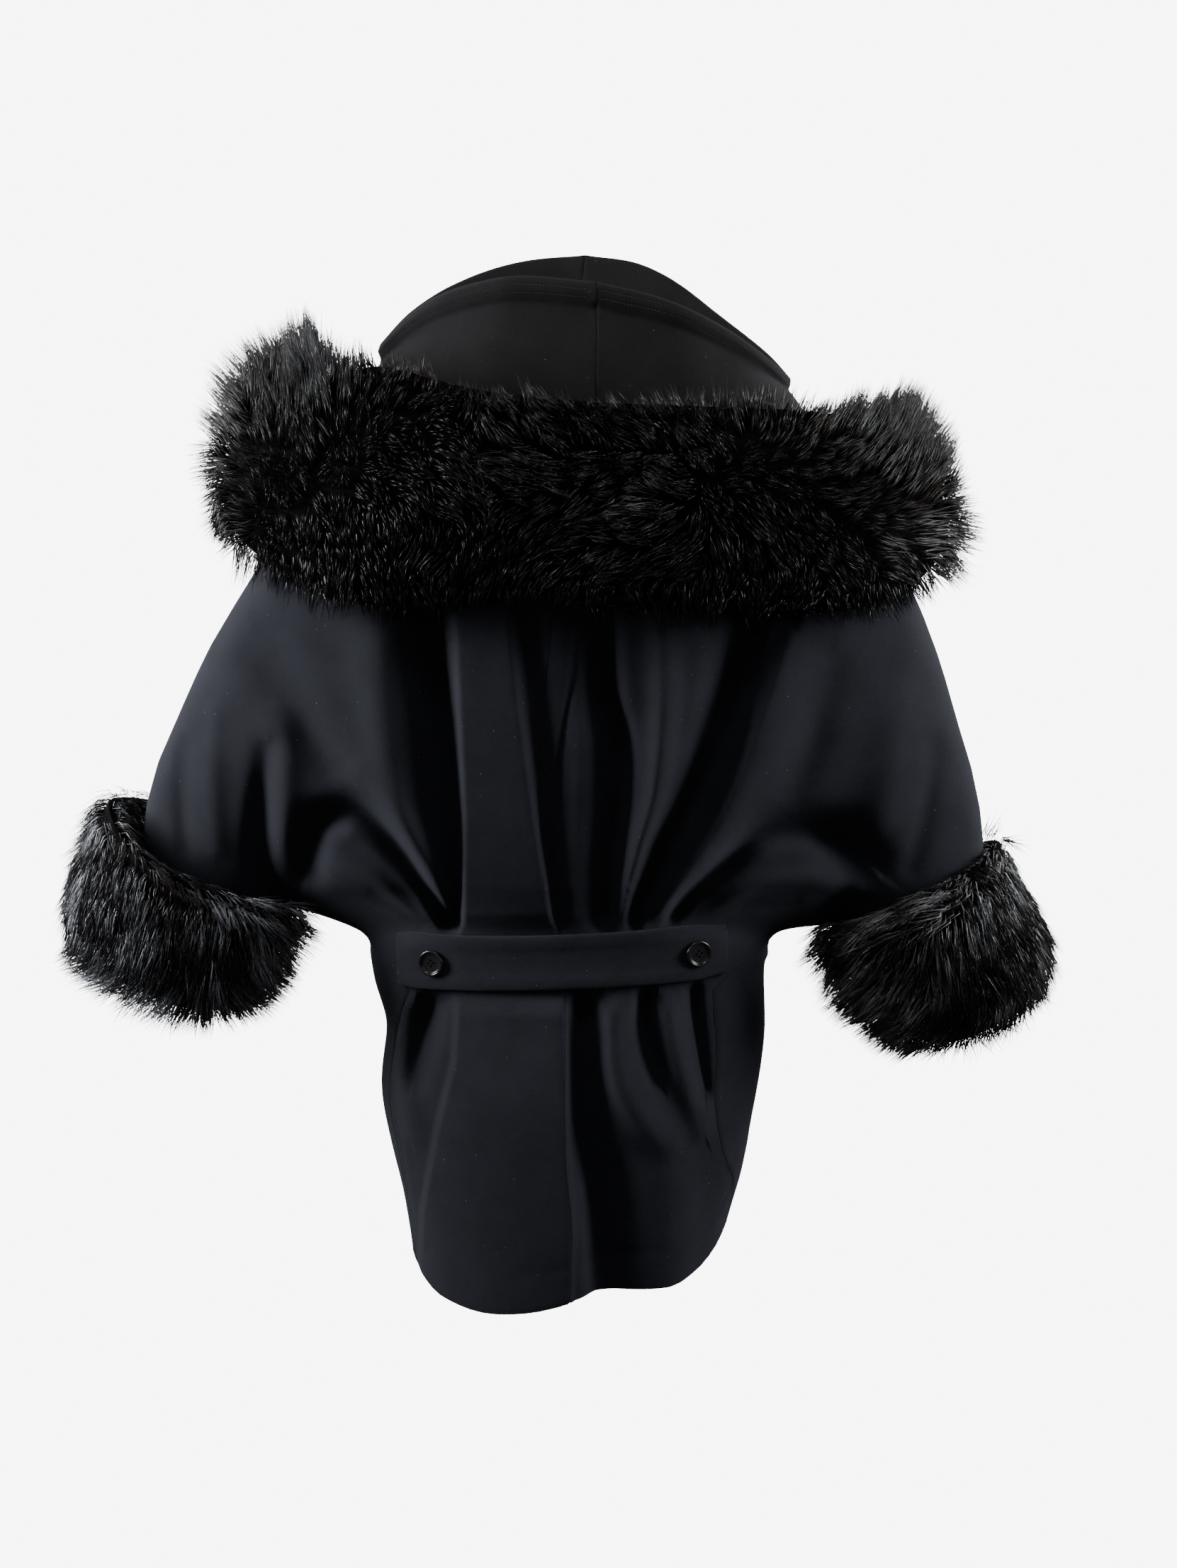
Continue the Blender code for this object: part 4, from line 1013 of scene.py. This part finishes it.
def cuff_comb(edge):
    """The way the hairs of a cuff lie, seen from the middle of the sleeve's edge."""
    under, corner, spread, sweep = (edge[CUFF_EDGE_COLUMNS.index(c)] for c in CUFF_EDGE_COLUMNS[1:])
    middle = np.array([[(under[0] + corner[0]) / 2, 0.0, (under[1] + corner[1]) / 2 + 0.03]])

    def way_of(p, n):
        away = p - middle
        sideways = away[:, 0] / 0.08
        down = np.stack([sideways * spread * 0.55, away[:, 1] * 4.0, -np.ones(len(p))], axis=1)
        lie = unit(down - (down * n).sum(axis=1)[:, None] * n)
        low = soft_step(-0.15, -0.65, n[:, 2])[:, None]
        flat = np.zeros_like(p)
        flat[:, 0] = sweep[0] + sweep[1] * np.clip(sideways, -1.0, 1.0)
        flat[:, 2] = -0.35
        lie = lie * (1 - low) + unit(flat) * low
        return lie + n * 0.40 + wander(p, 0.05, 7) * 0.20 + wander(p, 0.018, 8) * 0.12

    return way_of


def cuff_length(p, n):
    return CUFF_LENGTH + CUFF_TUFTS * wander(p, 0.03, 9)[:, 0]


def all_alike(p, n):
    return np.ones(len(p))


for edge in CUFF_EDGES:
    side, under, corner = edge[:3]
    turn = np.linspace(0.0, math.pi, 24)
    along = (1.0 - np.cos(turn)) / 2.0
    rim_x = under[0] + (corner[0] - under[0]) * along
    rim_z = under[1] + (corner[1] - under[1]) * along
    rim_y = CUFF_EDGE_HALF_DEPTH * np.sin(turn)
    held_at = np.concatenate([np.stack([rim_x, depth, rim_z], axis=1) for depth in (rim_y, -rim_y)])
    cuff = fur_body("cuff_" + side, "cuff_%s_backing" % side, CUFF_INSET, held_at)
    grow("cuff_%s_hair" % side, cuff, CUFF_HAIRS, cuff_length, CUFF_HAIR_WIDTH, cuff_comb(edge), CUFF_LOCKS,
         CUFF_GATHER, all_alike, all_alike, CUFF_SEEDS[side], cuff_hairs[side])

# The buttons: two dark polished coat buttons, turned with a raised rim and drilled with four holes.
# Each sits on an end of the half belt.
button_finish = bpy.data.materials.new("polished button")
button_finish.use_nodes = True
button_shader = button_finish.node_tree.nodes["Principled BSDF"]
button_shader.inputs["Roughness"].default_value = 0.22
button_place = button_finish.node_tree.nodes.new("ShaderNodeTexCoord")
button_mottle = noise_of(button_finish.node_tree, button_place.outputs["Object"], 220.0, 3.0)
button_dark = mix_of(button_finish.node_tree, button_mottle,
                     (0.004, 0.004, 0.005, 1.0), (0.014, 0.014, 0.016, 1.0))
button_finish.node_tree.links.new(button_dark, button_shader.inputs["Base Color"])
# The profile from the back's edge over the rim to the sunk middle: share of the radius, and height in
# millimetres.
BUTTON_RADIUS = 0.014
BUTTON_BACK = 0.64
BUTTON_TURNING = (
    (0.90, 0.6), (0.985, 1.6), (1.0, 2.6), (0.985, 4.0), (0.935, 4.9), (0.875, 5.2), (0.82, 5.0),
    (0.775, 4.3), (0.74, 3.6), (0.68, 3.2), (0.50, 3.0))
BUTTON_SIDES = 56
HOLE_RADIUS = 0.00115
HOLE_CENTRE = 0.0031
HOLE_SIDES = 16
DRILL_LENGTH = 0.012
HOLES_TURN = 8


def turned_button(name):
    """A button turned from its profile and drilled with four holes, then set where the solid lies."""
    co = points_of(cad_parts[name].data)
    middle = co.mean(axis=0)
    axis = np.linalg.svd(co - middle, full_matrices=False)[2][2]
    axis = axis * (-1.0 if axis[1] > 0.0 else 1.0)
    seat = middle + axis * ((co - middle) @ axis).min()
    bpy.ops.object.select_all(action="DESELECT")
    bpy.ops.mesh.primitive_circle_add(
        vertices=BUTTON_SIDES, radius=BUTTON_RADIUS * BUTTON_BACK, fill_type="NGON")
    button = bpy.context.object
    button.name = name + "_turned"
    bpy.ops.object.mode_set(mode="EDIT")
    bpy.ops.mesh.select_all(action="SELECT")
    share, height = BUTTON_BACK, 0.0
    for next_share, next_height in BUTTON_TURNING:
        bpy.ops.mesh.extrude_region_move(
            TRANSFORM_OT_translate={"value": (0.0, 0.0, (next_height - height) * 0.001)})
        bpy.ops.transform.resize(value=(next_share / share, next_share / share, 1.0),
                                 center_override=(0.0, 0.0, next_height * 0.001))
        share, height = next_share, next_height
    bpy.ops.mesh.select_all(action="SELECT")
    bpy.ops.mesh.normals_make_consistent(inside=False)
    bpy.ops.object.mode_set(mode="OBJECT")
    for k in range(4):
        turn = math.radians(90 * k + HOLES_TURN)
        bpy.ops.object.select_all(action="DESELECT")
        bpy.ops.mesh.primitive_cylinder_add(
            vertices=HOLE_SIDES, radius=HOLE_RADIUS, depth=DRILL_LENGTH,
            location=(HOLE_CENTRE * math.cos(turn), HOLE_CENTRE * math.sin(turn), 0.002))
        drill = bpy.context.object
        alone(button)
        hole = button.modifiers.new("hole", "BOOLEAN")
        hole.operation = "DIFFERENCE"
        hole.solver = "EXACT"
        hole.object = drill
        bpy.ops.object.modifier_apply(modifier=hole.name)
        bpy.data.objects.remove(drill, do_unlink=True)
    button.rotation_euler = Vector(axis).to_track_quat("Z", "Y").to_euler()
    button.location = seat
    alone(button)
    bpy.ops.object.transform_apply(location=True, rotation=True, scale=True)
    shade_round(button, 40)
    return button


for name in ("button_left", "button_right"):
    button = turned_button(name)
    button.data.materials.append(button_finish)
    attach(button, "root")
    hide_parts(name)
